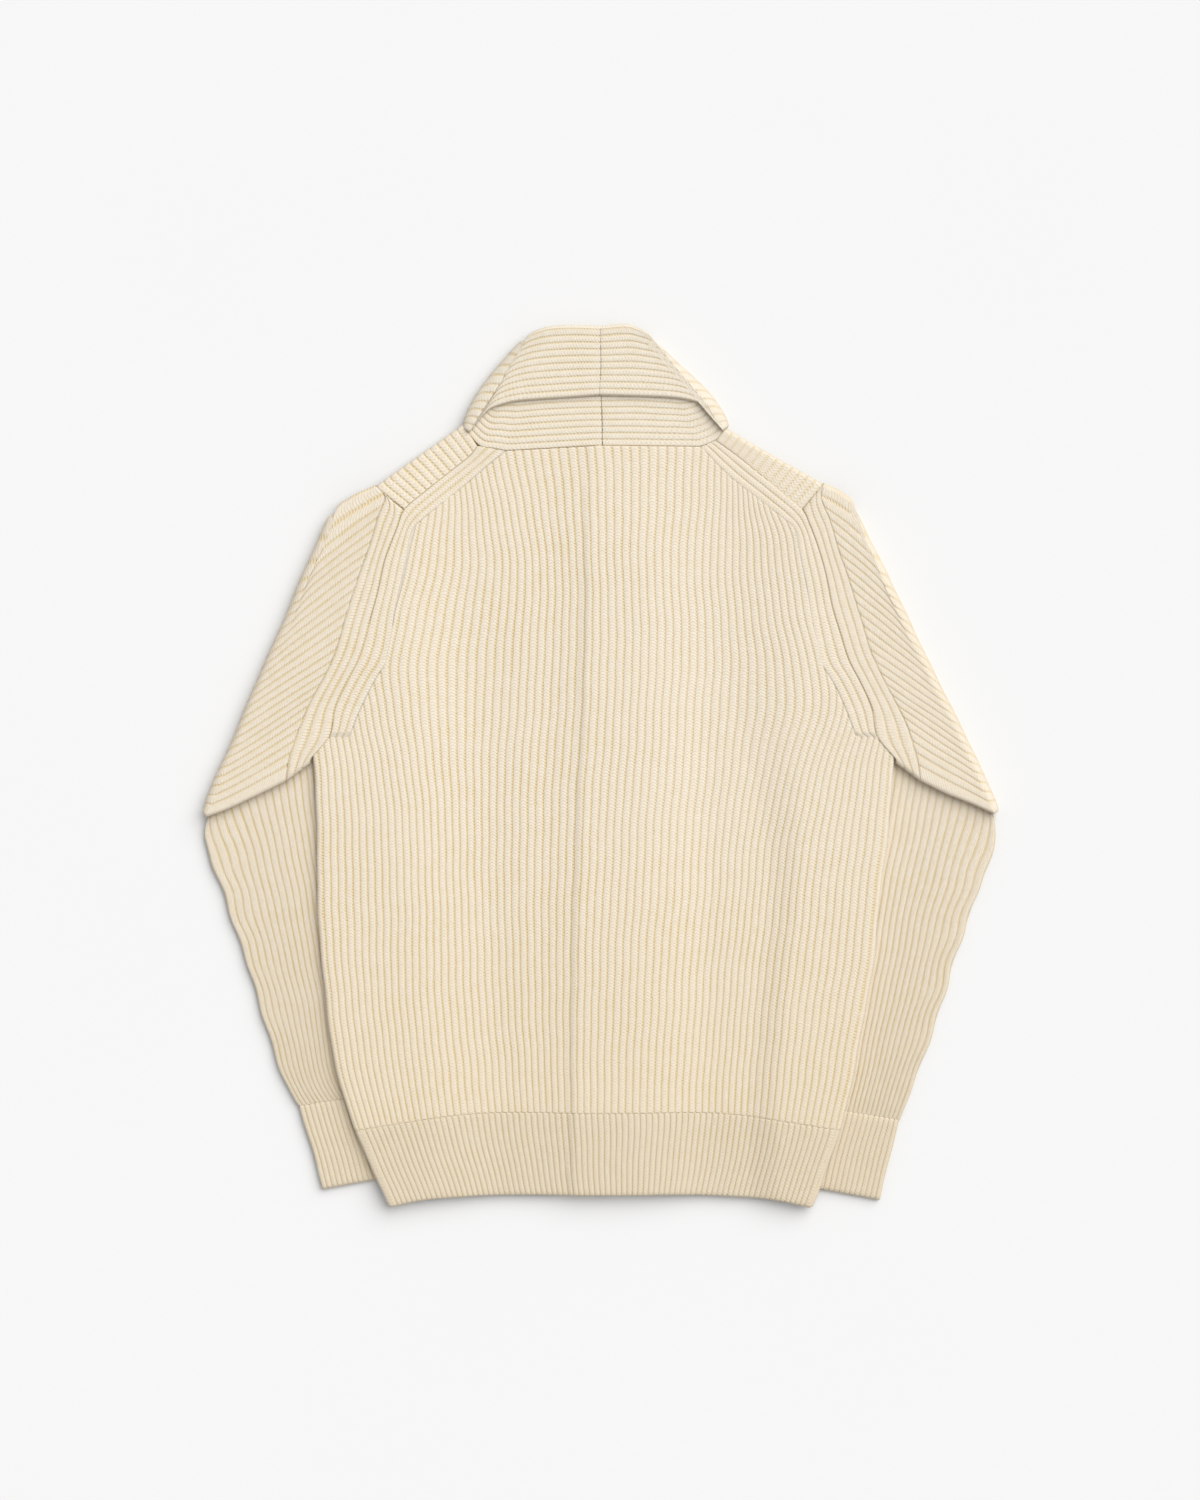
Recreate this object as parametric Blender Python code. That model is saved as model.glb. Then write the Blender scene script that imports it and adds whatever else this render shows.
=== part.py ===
"""Shawl collar cardigan in heavy ribbed wool, lying face down on a flat surface.

The back panel is on top, the two fronts lie under it, and each sleeve is folded
under the body along a line from the shoulder to the elbow. Frame: +X to the
right as seen from above, +Y towards the collar, +Z up, floor at z = 0. Sizes are
in millimetres and become metres when a mesh is made. "out" is a distance from
the middle of the garment towards either side.
"""

import math

import bmesh
import bpy
import numpy as np
from mathutils import Vector
from mathutils.geometry import delaunay_2d_cdt

MM = 0.001
ORIGIN = (1.4, 1.0, 0.0)  # middle of the outline, where the part's origin lies

# Knitted wall
WALL = 3.0  # plain thickness of the knit
RIB = 1.3  # how far a rib stands above the groove beside it
SEAM = 0.25  # half of the gap between two sewn pieces
ROW_STEP = 55.0  # distance between points along a rib
LINES_PER_RIB = 2

# Flattened tube, such as a sleeve: half thicknesses and the fold that turns it under
SLIT = 0.25  # half of the gap between the two layers
TUBE_H = SLIT + WALL
TUBE_EDGE_H = 1.6  # half height of the blunt side edge of a tube
FOLD_R = 4.9  # radius of the sleeve's middle surface where it is folded under
FOLD_TURNS = (0, 45, 90, 135, 180)
FOLD_Z = TUBE_H + FOLD_R
FOLD_END = 24.0  # a fold is rounded off over this length at each end
FOLD_END_WIDTH = 0.3  # share of its width that is left at the end itself

# Body
RIB_COUNT = 76  # ribs across the back
BAND_FIRST, BAND_LAST = 3, 6  # ribs at the armpit that run on as the armhole band
SIDE_R = 0.6  # inner radius of the rolled side edge
SIDE_INSET = SIDE_R + WALL + RIB  # from the silhouette to the start of the roll
SIDE_REACH = 4.0  # cloth past the start of the roll
SHOULDER_SHIFT = 3.0  # the shoulders sit this far to the right of the middle

# Rib guides: height, then the place of ribs 0, 12, 24, 38, 52, 64 and 76.
GUIDE_RIBS = (0, 12, 24, 38, 52, 64, 76)
GUIDES = (
    # y, rib 0, rib 12, rib 24, rib 38, rib 52, rib 64, rib 76
    (-415, -199, -136, -73, 0, 74, 137, 200),
    (-337, -233, -166, -91, -9, 82, 155, 228),
    (-266, -253, -178, -97, -9, 86, 161, 243),
    (-196, -261, -183, -102, -8, 91, 169, 256),
    (-125, -267, -184, -104, -5, 97, 177, 264),
    (-55, -267, -186, -105, -2, 102, 186, 272),
    (7, -271, -193, -104, 2, 108, 200, 278),
    (54, -276, -201, -102, 5, 112, 214, 284),
    (91, -282, -206, -100, 7, 114, 211, 288),
    (138, -279, -197, -96, 7, 113, 198, 284),
    (195, -265, -183, -93, 6, 109, 182, 271),
    (242, -254, -173, -99, 5, 111, 166, 259),
    (303, -244, -165, -112, 3, 115, 160, 250),
)

# Armhole and shoulder from the armpit up to the neck: the seam, and the line
# where the ribs of the panel end at the three-rib band that follows the seam.
ARMHOLE = (
    # seam out, seam y, band out, band y
    (261, 28, 240, 28),
    (252, 55, 227, 55),
    (239, 83, 213, 83),
    (229, 105, 201, 104),
    (215, 152, 194, 150),
    (205, 195, 185, 195),
    (194, 226, 180, 222),
    (187, 242, 168, 234),
    (167, 259, 153, 246),
    (144, 278, 131, 263),
    (127, 292, 111, 281),
    (119, 303, 91, 297),
)
NECK_END = {-1: (116, 302, 89, 297), 1: (109, 307, 95, 301)}  # the last row, side by side
ARMPIT = (275, 15)
SHOULDER_CORNER = 7  # row of ARMHOLE where the armhole turns into the shoulder
NECK_MIDDLE_Y = 302

# Hem band: share of the width, height of its join, height of its edge
HEM = (
    (0.0, -342, -415),
    (0.08, -336, -408),
    (0.2, -328, -404),
    (0.5, -326, -403),
    (0.8, -328, -404),
    (0.92, -336, -408),
    (1.0, -342, -415),
)
HEM_RIBS = 82
HEM_JOIN_X = (-230, 227)
HEM_EDGE_X = (-199, 200)

# Heights of the undersides above the floor
BACK_LOW = 7.0  # between the front bands and the folded sleeves
BACK_NECK = 9.0
BACK_HIGH = (12.1, 13.1)  # over the folded sleeves, at the hem and at the armholes
BANDS_UNDER = 1.3  # the doubled front bands lift the middle of the back by this much
PLACKET_STEP = 0.9  # and one of them a little more
PLACKET_X = (-24.0, -6.0, 30.0, 110.0)  # rise from, to, fall from, to
FRONT_HIGH = 8.35
FRONT_NECK = 4.7

# Sleeve, in out and y
FOLD_LINE = {-1: ((256, 240), (378, -43)), 1: ((241, 245), (379, -40))}
SLEEVE_HEAD = {-1: ((211, 265), (236, 253), (248, 243)), 1: ((210, 267), (230, 257), (238, 249))}
SLEEVE_BAND = (
    # seam out, seam y, band out, band y
    (187, 242, 205, 256),
    (194, 226, 212, 234),
    (205, 195, 223, 197),
    (215, 152, 237, 156),
    (229, 105, 252, 108),
    (239, 83, 262, 84),
    (252, 55, 277, 56),
    (261, 28, 288, 30),
    (275, 15, 295, 8),
    (275, 4, 298, -13),
)
UNDERARM = ((275, 4), (301, -15), (329, -30), (353, -41))
LOWER_EDGE = ((373, -62), (369, -84), (360, -106), (353, -125), (344, -153), (334, -181), (323, -219), (308, -266), (290, -311))
INNER_EDGE = ((232, 160), (214, -30), (201, -160), (187, -300))
SLEEVE_RIBS = 24  # across the sleeve
UPPER_ROWS = (0.05, 0.3, 0.55, 0.8)  # rows of points between the band and the fold
LOWER_ROWS = (0.03, 0.2, 0.4, 0.6, 0.8, 1.0)  # and from the fold to the cuff
PLAIN_SHARES = (0.0, 0.05, 0.25, 0.5, 0.75, 0.95, 1.0)
CUFF = {
    # join outer, join inner, edge outer, edge inner
    -1: ((285, -319), (185, -303), (261, -398), (165, -380)),
    1: ((283, -332), (184, -316), (263, -408), (165, -390)),
}
CUFF_RIBS = 20
CUFF_STEP = 0.8  # the cuff is drawn in a little at its sides

# Front: the shoulder edge that turns up onto the back, and the centre front
SHOULDER_EDGE = {-1: ((131, 322), (211, 265)), 1: ((119, 319), (210, 267))}
STRIP_TRIM = 0.8  # the strip stops this far short of the collar and of the sleeve
FRONT_HEM_SHORT = 1.5  # the fronts end a little above the back
STRIP_RIBS = 13
STRIP_R = 0.8  # inner radius of the fold along the shoulder

# Collar: half thicknesses, and sections from the centre back round to the hem
COLLAR_SLIT = 0.85
COLLAR_H = COLLAR_SLIT + WALL
COLLAR_FOLD_R = 4.3
COLLAR_FALL_RIBS = 10
COLLAR_STAND_RIBS = 8
STAND_SEEN = 0.42  # share of the stand that shows below the fall
CREASE = {
    # ends of the crease at the side of the neck, on the outline: at the seam, at the roll line
    -1: ((129, 323), (80, 399)),
    1: ((120, 325), (52, 402)),
}
CREASE_FREE = 6.0  # the free edge of the fall meets the crease this far from the seam
COLLAR = {
    # layer (0 the upper run, 1 turned under), seam, roll line, free edge, as out and y
    -1: (
        (0, (-2.0, 302), (0.3, 416), (0.3, 349)),
        (0, (28, 298), (26, 417), (28, 347)),
        (0, (60, 296), (46, 416), (57, 345)),
        (0, (83, 296), (55, 412), (80, 343)),
        (0, (101, 301), (60, 407), (99, 338)),
        (1, (108, 262), (68, 345), (104, 270)),
        (1, (92, 180), (40, 240), (86, 187)),
        (1, (76, 100), (14, 122), (68, 103)),
        (1, (66, 20), (1.2, 24), (50, 21)),
        (1, (62, -60), (1.2, -60), (44, -60)),
        (1, (62, -230), (1.2, -230), (44, -230)),
        (1, (62, -402), (1.2, -402), (44, -402)),
    ),
    1: (
        (0, (2.6, 302), (0.3, 416), (0.3, 349)),
        (0, (36, 303), (24, 418), (34, 348)),
        (0, (66, 305), (34, 415), (62, 347)),
        (0, (86, 305), (37, 411), (80, 345)),
        (0, (99, 306), (40, 408), (95, 341)),
        (1, (103, 262), (56, 345), (98, 270)),
        (1, (90, 180), (36, 240), (83, 187)),
        (1, (76, 100), (14, 122), (68, 103)),
        (1, (66, 20), (1.2, 24), (50, 21)),
        (1, (62, -60), (1.2, -60), (44, -60)),
        (1, (62, -230), (1.2, -230), (44, -230)),
        (1, (62, -402), (1.2, -402), (44, -402)),
    ),
}

WOOL = (0.83, 0.74, 0.59)


def curve(at, stations, values):
    """Values on a smooth curve through the stations, straight past its ends."""
    x, y = np.asarray(stations, float), np.asarray(values, float)
    slope = np.gradient(y, x, axis=0)
    at = np.asarray(at, float)
    i = np.clip(np.searchsorted(x, at) - 1, 0, len(x) - 2)
    span = x[i + 1] - x[i]
    f = np.clip((at - x[i]) / span, 0, 1)
    past = at - np.clip(at, x[0], x[-1])
    if y.ndim > 1:
        f, span, past = f[..., None], span[..., None], past[..., None]
    a, b = 2 * f**3 - 3 * f**2 + 1, f**3 - 2 * f**2 + f
    c, d = 3 * f**2 - 2 * f**3, f**3 - f**2
    inside = a * y[i] + b * span * slope[i] + c * y[i + 1] + d * span * slope[i + 1]
    end = np.where(past > 0, slope[-1], slope[0])
    return inside + past * end


def ease(low, high, at):
    """0 below low, 1 above high, and a soft step between."""
    f = np.clip((np.asarray(at, float) - low) / (high - low), 0, 1)
    return f * f * (3 - 2 * f)


def steps(low, high, step):
    return np.linspace(low, high, max(2, int(math.ceil(abs(high - low) / step)) + 1))


def rib_profile(share):
    """Height of a rib, 0 in its grooves and 1 on its crest, at a share of its width."""
    return math.sin(math.pi * (share % 1.0)) ** 0.6 if share % 1.0 > 1e-6 else 0.0


def solve(low, high, test):
    """Where test turns from true to false between low and high."""
    for _ in range(40):
        middle = (low + high) / 2
        low, high = (middle, high) if test(middle) else (low, middle)
    return (low + high) / 2


class Net:
    """Points of a piece, as place in its flat pattern and height in the wall, and its triangles."""

    def __init__(self):
        self.points = []
        self.faces = []

    def line(self, places, heights):
        first = len(self.points)
        heights = np.broadcast_to(heights, (len(places),))
        self.points += [(float(p[0]), float(p[1]), float(h)) for p, h in zip(places, heights)]
        return list(range(first, len(self.points)))

    def reach(self, chain):
        """How far along its chain each point lies, from 0 to 1."""
        p = np.array([self.points[i][:2] for i in chain])
        along = np.concatenate([[0], np.cumsum(np.linalg.norm(np.diff(p, axis=0), axis=1))])
        return along / max(along[-1], 1e-9)

    def join(self, a, b, key_a=None, key_b=None):
        """Triangles between two chains, moving on along whichever has the nearer next point."""
        key_a = self.reach(a) if key_a is None else key_a
        key_b = self.reach(b) if key_b is None else key_b
        i = j = 0
        while i + 1 < len(a) or j + 1 < len(b):
            ahead_a = key_a[i] + key_a[i + 1] if i + 1 < len(a) else math.inf
            ahead_b = key_b[j] + key_b[j + 1] if j + 1 < len(b) else math.inf
            if ahead_a <= ahead_b:
                self.face(a[i], a[i + 1], b[j])
                i += 1
            else:
                self.face(a[i], b[j + 1], b[j])
                j += 1

    def face(self, *corners):
        if len(set(corners)) == 3:
            self.faces.append(corners)

    def border(self):
        """The single loop of points round the triangles made so far."""
        once = {}
        for a, b, c in self.faces:
            for edge in ((a, b), (b, c), (c, a)):
                key = frozenset(edge)
                once[key] = None if key in once else edge
        near = {}
        for edge in filter(None, once.values()):
            for i, j in (edge, edge[::-1]):
                near.setdefault(i, []).append(j)
        loop = [min(near)]
        loop.append(near[loop[0]][0])
        while loop[-1] != loop[0]:
            a, b = near[loop[-1]]
            loop.append(b if a == loop[-2] else a)
        return loop[:-1]

    def below(self, chain, height):
        """A copy of a chain at another height in the wall."""
        return self.line([self.points[i] for i in chain], height)

    def fill(self, loop, height, creases=(), spots=(), section=None):
        """Fills a loop with triangles that keep the creases, given as chains of the loop's points and places."""
        places = [Vector(p) for p in section or (self.points[i][:2] for i in loop)]
        index, edges = {p: k for k, p in enumerate(loop)}, []
        made = list(loop)
        for crease in creases:
            chain = []
            for item in crease:
                if isinstance(item, int):
                    chain.append(index[item])
                else:
                    chain.append(len(places))
                    places.append(Vector(item))
                    made += self.line([item], height)
            edges += list(zip(chain, chain[1:]))
        for spot in spots:
            places.append(Vector(spot))
            made += self.line([spot], height)
        found = delaunay_2d_cdt(places, edges, [list(range(len(loop)))], 1, 1e-5)
        back = [made[source[0]] for source in found[3]]
        for triangle in found[2]:
            self.face(*(back[i] for i in triangle))


def material(name, colour):
    shade = bpy.data.materials.new(name)
    shade.use_nodes = True
    bsdf = shade.node_tree.nodes["Principled BSDF"]
    bsdf.inputs["Base Color"].default_value = (*colour, 1)
    bsdf.inputs["Roughness"].default_value = 0.95
    bsdf.inputs["Metallic"].default_value = 0.0
    return shade


def build(name, net, place, colour=WOOL):
    """Makes an object from a net, with each point moved to its place in space."""
    flat = np.array(net.points)
    points = (place(flat[:, 0], flat[:, 1], flat[:, 2]) - ORIGIN) * MM
    mesh = bpy.data.meshes.new(name)
    mesh.from_pydata(points.tolist(), [], [list(f) for f in net.faces])
    shape = bmesh.new()
    shape.from_mesh(mesh)
    loose = [v for v in shape.verts if not v.link_faces]
    bmesh.ops.delete(shape, geom=loose, context="VERTS")
    bmesh.ops.recalc_face_normals(shape, faces=shape.faces)
    shape.to_mesh(mesh)
    shape.free()
    mesh.materials.append(material(name + "_wool", colour))
    made = bpy.data.objects.new(name, mesh)
    bpy.context.scene.collection.objects.link(made)
    return made


# ---------------------------------------------------------------- heights


def inner_edge(y):
    """How far out the inner edge of the folded lower sleeve lies."""
    at = np.clip(y, INNER_EDGE[-1][1], INNER_EDGE[0][1])
    return curve(at, [p[1] for p in INNER_EDGE][::-1], [p[0] for p in INNER_EDGE][::-1])


def back_height(x, y):
    """Underside of the back panel."""
    x, y = np.broadcast_arrays(np.asarray(x, float), np.asarray(y, float))
    out = np.abs(x)
    low = BACK_LOW + BANDS_UNDER * (1 - ease(66, 105, out))
    low = low + (BACK_NECK - low) * ease(0, 250, y)
    high = BACK_HIGH[0] + (BACK_HIGH[1] - BACK_HIGH[0]) * ease(-60, 120, y)
    rise = ease(inner_edge(y) - 112, inner_edge(y) - 32, out)
    x0, x1, x2, x3 = PLACKET_X
    placket = ease(x0, x1, x) * (1 - ease(x2, x3, x)) * (1 - ease(120, 280, y))
    return low + rise * (high - low) + PLACKET_STEP * placket


def front_height(out, y):
    """Underside of a front: on the floor in the middle, over the folded sleeve at the side."""
    low = FRONT_NECK * np.maximum(ease(60, 250, y), 1 - ease(75, 115, out))
    return low + ease(inner_edge(y) - 95, inner_edge(y) - 15, out) * (FRONT_HIGH - low)


# ---------------------------------------------------------------- back panel


def rib_x(k, y):
    """Where groove number k of the back lies at height y."""
    table = np.array(GUIDES, float)
    column = curve(k, GUIDE_RIBS, table[:, 1:].T)
    return curve(y, table[:, 0], column)


def side_x(side, y):
    """Start of the rolled side edge."""
    return side * (side * rib_x(0 if side < 0 else RIB_COUNT, y) - SIDE_INSET)


def place_back(x, y, h):
    """Lays a point of the back panel or its hem over the layers below, rolled down at the sides."""
    x, y, h = x.copy(), y.copy(), h.copy()
    z = back_height(x, y)
    for side in (-1, 1):
        start = side_x(side, y)
        past = side * (x - start)
        turned = past > 1e-6
        angle = np.clip(past / SIDE_R, 0, math.pi / 2)
        drop = np.maximum(past - SIDE_R * math.pi / 2, 0)
        new_x = start + side * (SIDE_R + h) * np.sin(angle)
        new_z = back_height(start, y) - SIDE_R + (SIDE_R + h) * np.cos(angle) - drop
        x = np.where(turned, new_x, x)
        z = np.where(turned, new_z - h, z)
    return np.stack([x, y, z + h], axis=1)


def seam_rows(side, inset):
    """The armhole and shoulder seam from the armpit to the neck, moved into the back panel."""
    rows = [(ARMPIT[0], ARMPIT[1])] + [(r[0], r[1]) for r in ARMHOLE]
    p = np.array(rows, float)
    p[:, 0] = SHOULDER_SHIFT * side + p[:, 0]
    p[-1] = NECK_END[side][:2]
    d = np.gradient(p, axis=0)
    n = np.stack([-d[:, 1], d[:, 0]], axis=1) / np.linalg.norm(d, axis=1)[:, None]
    n *= np.sign(-n[:, :1] * 1.0)
    return p + n * inset


def band_rows(side):
    p = np.array([(r[2], r[3]) for r in ARMHOLE], float)
    p[:, 0] = SHOULDER_SHIFT * side + p[:, 0]
    p[-1] = NECK_END[side][2:]
    return p


def finer(points, step, smooth=True):
    """Points along a line about a step apart, keeping the given ones, with their row numbers."""
    rows = []
    for i in range(len(points) - 1):
        n = max(1, round(float(np.linalg.norm(points[i + 1] - points[i])) / step))
        rows += [i + k / n for k in range(n)]
    rows = np.array(rows + [len(points) - 1.0])
    if smooth:
        return curve(rows, range(len(points)), points), rows
    whole = np.minimum(rows.astype(int), len(points) - 2)
    f = (rows - whole)[:, None]
    return points[whole] * (1 - f) + points[whole + 1] * f, rows


def back_lines():
    """Rib numbers of the lines of the back, as (number, height in the wall, past the roll)."""
    whole = [k / LINES_PER_RIB for k in range(LINES_PER_RIB, (RIB_COUNT - 1) * LINES_PER_RIB + 1)]
    return [(k, WALL + RIB * rib_profile(k), None) for k in whole]


ROLL_LINES = ((SIDE_REACH, 0.4), (SIDE_R * math.pi / 2, 0.9), (SIDE_R * math.pi / 4, 1.0), (0.0, 0.5))


def back_panel():
    net = Net()
    rows = steps(-300, 290, ROW_STEP)
    seams = {side: seam_rows(side, SEAM) for side in (-1, 1)}
    bands = {side: band_rows(side) for side in (-1, 1)}

    # The line where the ribs of the panel end, from armpit to neck and across to the other armpit
    cap = []
    for side in (-1, 1):
        seam, band = seams[side], bands[side]
        dense, _ = finer(band, 6)
        half = [tuple(seam[0]), tuple(seam[1])] + [tuple(p) for p in dense]
        half = [(side * o, y) for o, y in half]
        cap += half + [(2, NECK_MIDDLE_Y - SEAM)] if side < 0 else half[::-1]
    cap = np.array(cap)

    def cap_y(x):
        return float(np.interp(x, cap[:, 0], cap[:, 1]))

    def hem_y(x):
        share = (x - HEM_JOIN_X[0]) / (HEM_JOIN_X[1] - HEM_JOIN_X[0])
        return float(curve(share, [r[0] for r in HEM], [r[1] for r in HEM])) + SEAM

    def one_line(x_of, height, ends_flat):
        low = solve(-370, -300, lambda y: y < hem_y(x_of(y)))
        high = solve(-20, 310, lambda y: y < cap_y(x_of(y)))
        inner = [y for y in rows if low + ROW_STEP * 0.4 < y < high - ROW_STEP * 0.3]
        ys = [low, *inner, high]
        heights = np.full(len(ys), height)
        if ends_flat:
            heights[-1] = WALL
        return net.line([(float(x_of(y)), y) for y in ys], heights), ys

    lines = []
    for side in (-1, 1):
        for past, rise in ROLL_LINES if side < 0 else ():
            lines.append((None, *one_line(lambda y, p=past: side_x(-1, y) - p, WALL + RIB * rise, 0)))
        if side > 0:
            for k, height, _ in back_lines():
                flat = BAND_LAST <= k <= RIB_COUNT - BAND_LAST
                x = float(rib_x(k, 290))
                flat = flat and not (abs(x - 3) < 88)
                lines.append((k, *one_line(lambda y, k=k: float(rib_x(k, y)), height, flat)))
            for past, rise in ROLL_LINES[::-1]:
                lines.append((None, *one_line(lambda y, p=past: side_x(1, y) + p, WALL + RIB * rise, 0)))
    for (_, a, ya), (_, b, yb) in zip(lines, lines[1:]):
        net.join(a, b, ya, yb)

    # The three-rib band along each armhole and shoulder
    for side in (-1, 1):
        seam, band = seams[side][1:], bands[side]
        first = BAND_FIRST if side < 0 else RIB_COUNT - BAND_FIRST
        last = BAND_LAST if side < 0 else RIB_COUNT - BAND_LAST
        ends = {round(k * LINES_PER_RIB): line[-1] for k, line, _ in lines if k is not None}
        dense, dense_rows = finer(band, 3)
        middle = round(38 * LINES_PER_RIB)
        run = range(round(last * LINES_PER_RIB), middle) if side < 0 else range(
            round(last * LINES_PER_RIB), middle, -1)
        chain = [ends[k] for k in run if side * net.points[ends[k]][0] > dense[-1][0] - 0.5]
        places = np.array([net.points[i][:2] for i in chain])
        key = np.interp(-side * places[:, 0], -dense[:, 0], dense_rows)
        key[0] = 0
        previous = (chain, key)
        _, stations = finer(seam, ROW_STEP * 0.6, smooth=False)
        outer = curve(stations, range(len(seam)), seam)
        whole = np.minimum(stations.astype(int), len(seam) - 2)
        f = (stations - whole)[:, None]
        outer = seam[whole] * (1 - f) + seam[whole + 1] * f
        inner = curve(stations, range(len(band)), band)
        count = (BAND_LAST - BAND_FIRST) * LINES_PER_RIB
        for j in range(1, count + 1):
            share = j / count
            places = inner + (outer - inner) * share
            height = WALL + RIB * rib_profile(j / LINES_PER_RIB)
            line = net.line([(side * p[0], p[1]) for p in places[1:]], height)
            start = round(last * LINES_PER_RIB) + side * j if side > 0 else round(
                last * LINES_PER_RIB) - j
            line = [ends[start]] + line
            net.join(previous[0], line, previous[1], stations)
            previous = (line, stations)

    loop = net.border()
    under = net.below(loop, 0.0)
    net.join(loop + loop[:1], under + under[:1], range(len(loop) + 1), range(len(loop) + 1))
    matching = dict(zip(loop, under))
    creases = []
    for side_lines in (lines[:4], lines[-4:]):
        for _, line, ys in side_lines:
            ends_here = (matching.get(line[0]), matching.get(line[-1]))
            if line in (lines[0][1], lines[-1][1]):
                continue
            inner_points = [net.points[i][:2] for i in line[1:-1]]
            creases.append([ends_here[0], *inner_points, ends_here[1]])
    spots = [
        (float(rib_x(k, y)), y)
        for k in range(4, RIB_COUNT - 3, 6)
        for y in steps(-300, 270, 60)
        if hem_y(rib_x(k, y)) + 12 < y < cap_y(rib_x(k, y)) - 12
    ]
    net.fill(under, 0.0, creases, spots)
    return net


# ---------------------------------------------------------------- hem bands


def hem_y(x, column):
    """Height of the join (column 1) or of the edge (column 2) of the hem band."""
    share = (x - HEM_JOIN_X[0]) / (HEM_JOIN_X[1] - HEM_JOIN_X[0])
    return float(curve(share, [r[0] for r in HEM], [r[column] for r in HEM]))


def hem_band():
    net = Net()

    def one_line(x_of, height):
        high = solve(-370, -300, lambda y: y < hem_y(x_of(y), 1) - SEAM)
        low = solve(-430, -370, lambda y: y < hem_y(x_of(y) * HEM_JOIN_X[1] / HEM_EDGE_X[1], 2))
        ys = [low, high]
        return net.line([(float(x_of(y)), y) for y in ys], height)

    def rib(share):
        return lambda y: rib_x(0, y) + share * (rib_x(RIB_COUNT, y) - rib_x(0, y))

    lines = [one_line(lambda y, p=p: side_x(-1, y) - p, WALL + RIB * rise) for p, rise in ROLL_LINES]
    for j in range(LINES_PER_RIB + 1, (HEM_RIBS - 1) * LINES_PER_RIB):
        height = WALL + RIB * rib_profile(j / LINES_PER_RIB)
        lines.append(one_line(rib(j / LINES_PER_RIB / HEM_RIBS), height))
    right = ROLL_LINES[::-1]
    lines += [one_line(lambda y, p=p: side_x(1, y) + p, WALL + RIB * rise) for p, rise in right]
    for a, b in zip(lines, lines[1:]):
        net.join(a, b)
    loop = net.border()
    under = net.below(loop, 0.0)
    net.join(loop + loop[:1], under + under[:1], range(len(loop) + 1), range(len(loop) + 1))
    matching = dict(zip(loop, under))
    rolls = lines[1:4] + lines[-4:-1]
    net.fill(under, 0.0, [[matching[line[0]], matching[line[1]]] for line in rolls])
    return net


def front_hem(side):
    """A plain band: its outline, copied to both faces."""
    net = Net()
    inner = COLLAR[side][-1][1][0] + 2 * SEAM
    outs = [inner, 80, 95, 115, 135, 155, 175, 195, None]
    low, high = [], []
    for out in outs:
        if out is None:
            high_y = hem_y(side * 225, 1) - SEAM
            low_y = hem_y(side * 215, 2) + FRONT_HEM_SHORT
            high.append((side * float(side_x(side, high_y)), high_y))
            low.append((side * float(side_x(side, low_y)), low_y))
        else:
            high.append((out, hem_y(side * out, 1) - SEAM))
            low.append((out, hem_y(side * out * 1.14, 2) + FRONT_HEM_SHORT))
    sheets = []
    for height in (0.0, WALL):
        a, b = net.line(low, height), net.line(high, height)
        net.join(a, b, range(len(a)), range(len(b)))
        sheets.append(a + b[::-1])
    a, b = sheets
    net.join(a + a[:1], b + b[:1], range(len(a) + 1), range(len(b) + 1))
    return net


# ---------------------------------------------------------------- fronts


def place_front(side):
    """Points given as out, y and z."""

    def place(out, y, z):
        return np.stack([side * out, y, z], axis=1)

    return place


def place_hem(side):
    """Points given as out, y and height in the wall of a front."""

    def place(out, y, h):
        return np.stack([side * out, y, front_height(out, y) + h], axis=1)

    return place


def along(points, shares):
    """Places on a bent line at shares of its length."""
    p = np.asarray(points, float)
    reach = np.concatenate([[0], np.cumsum(np.linalg.norm(np.diff(p, axis=0), axis=1))])
    at = np.asarray(shares, float) * reach[-1]
    return np.stack([np.interp(at, reach, p[:, 0]), np.interp(at, reach, p[:, 1])], axis=1)


def strip_rows(side, count, ribbed, height):
    """Rows of the shoulder strip from its seam round the fold to the front panel."""
    shares = np.linspace(0, 1, count)
    a, b = (np.array(p, float) for p in SHOULDER_EDGE[side])
    run = (b - a) / np.linalg.norm(b - a)
    inward = np.array([run[1], -run[0]])
    inset = STRIP_R + WALL + RIB
    a, b = a + run * STRIP_TRIM + inward * inset, b - run * STRIP_TRIM + inward * inset
    axis = a + (b - a) * shares[:, None]
    seam = seam_rows(side, -SEAM)[SHOULDER_CORNER + 1 :][::-1]
    seam[0] += run * STRIP_TRIM * 0.6
    seam[-1] -= run * STRIP_TRIM * 0.6
    seam = along(seam, shares)
    base = front_height(axis[:, 0], axis[:, 1])
    rise = np.array([RIB * rib_profile(q * STRIP_RIBS) if ribbed else 0.0 for q in shares])
    rise[[0, -1]] = 0
    rows = []
    for out, turn in ((1.0, 180), (0.5, 180), (0.0, 180), (0, 135), (0, 90), (0, 45), (0, 0)):
        angle = math.radians(turn)
        fade = 1.0 if turn > 45 else 0.0
        radius = STRIP_R + WALL - height + rise * fade
        place = axis + (seam - axis) * out - inward * (radius * math.sin(angle))[:, None]
        z = base + WALL + STRIP_R - radius * math.cos(angle)
        rows.append((place, z))
    return rows


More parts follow.
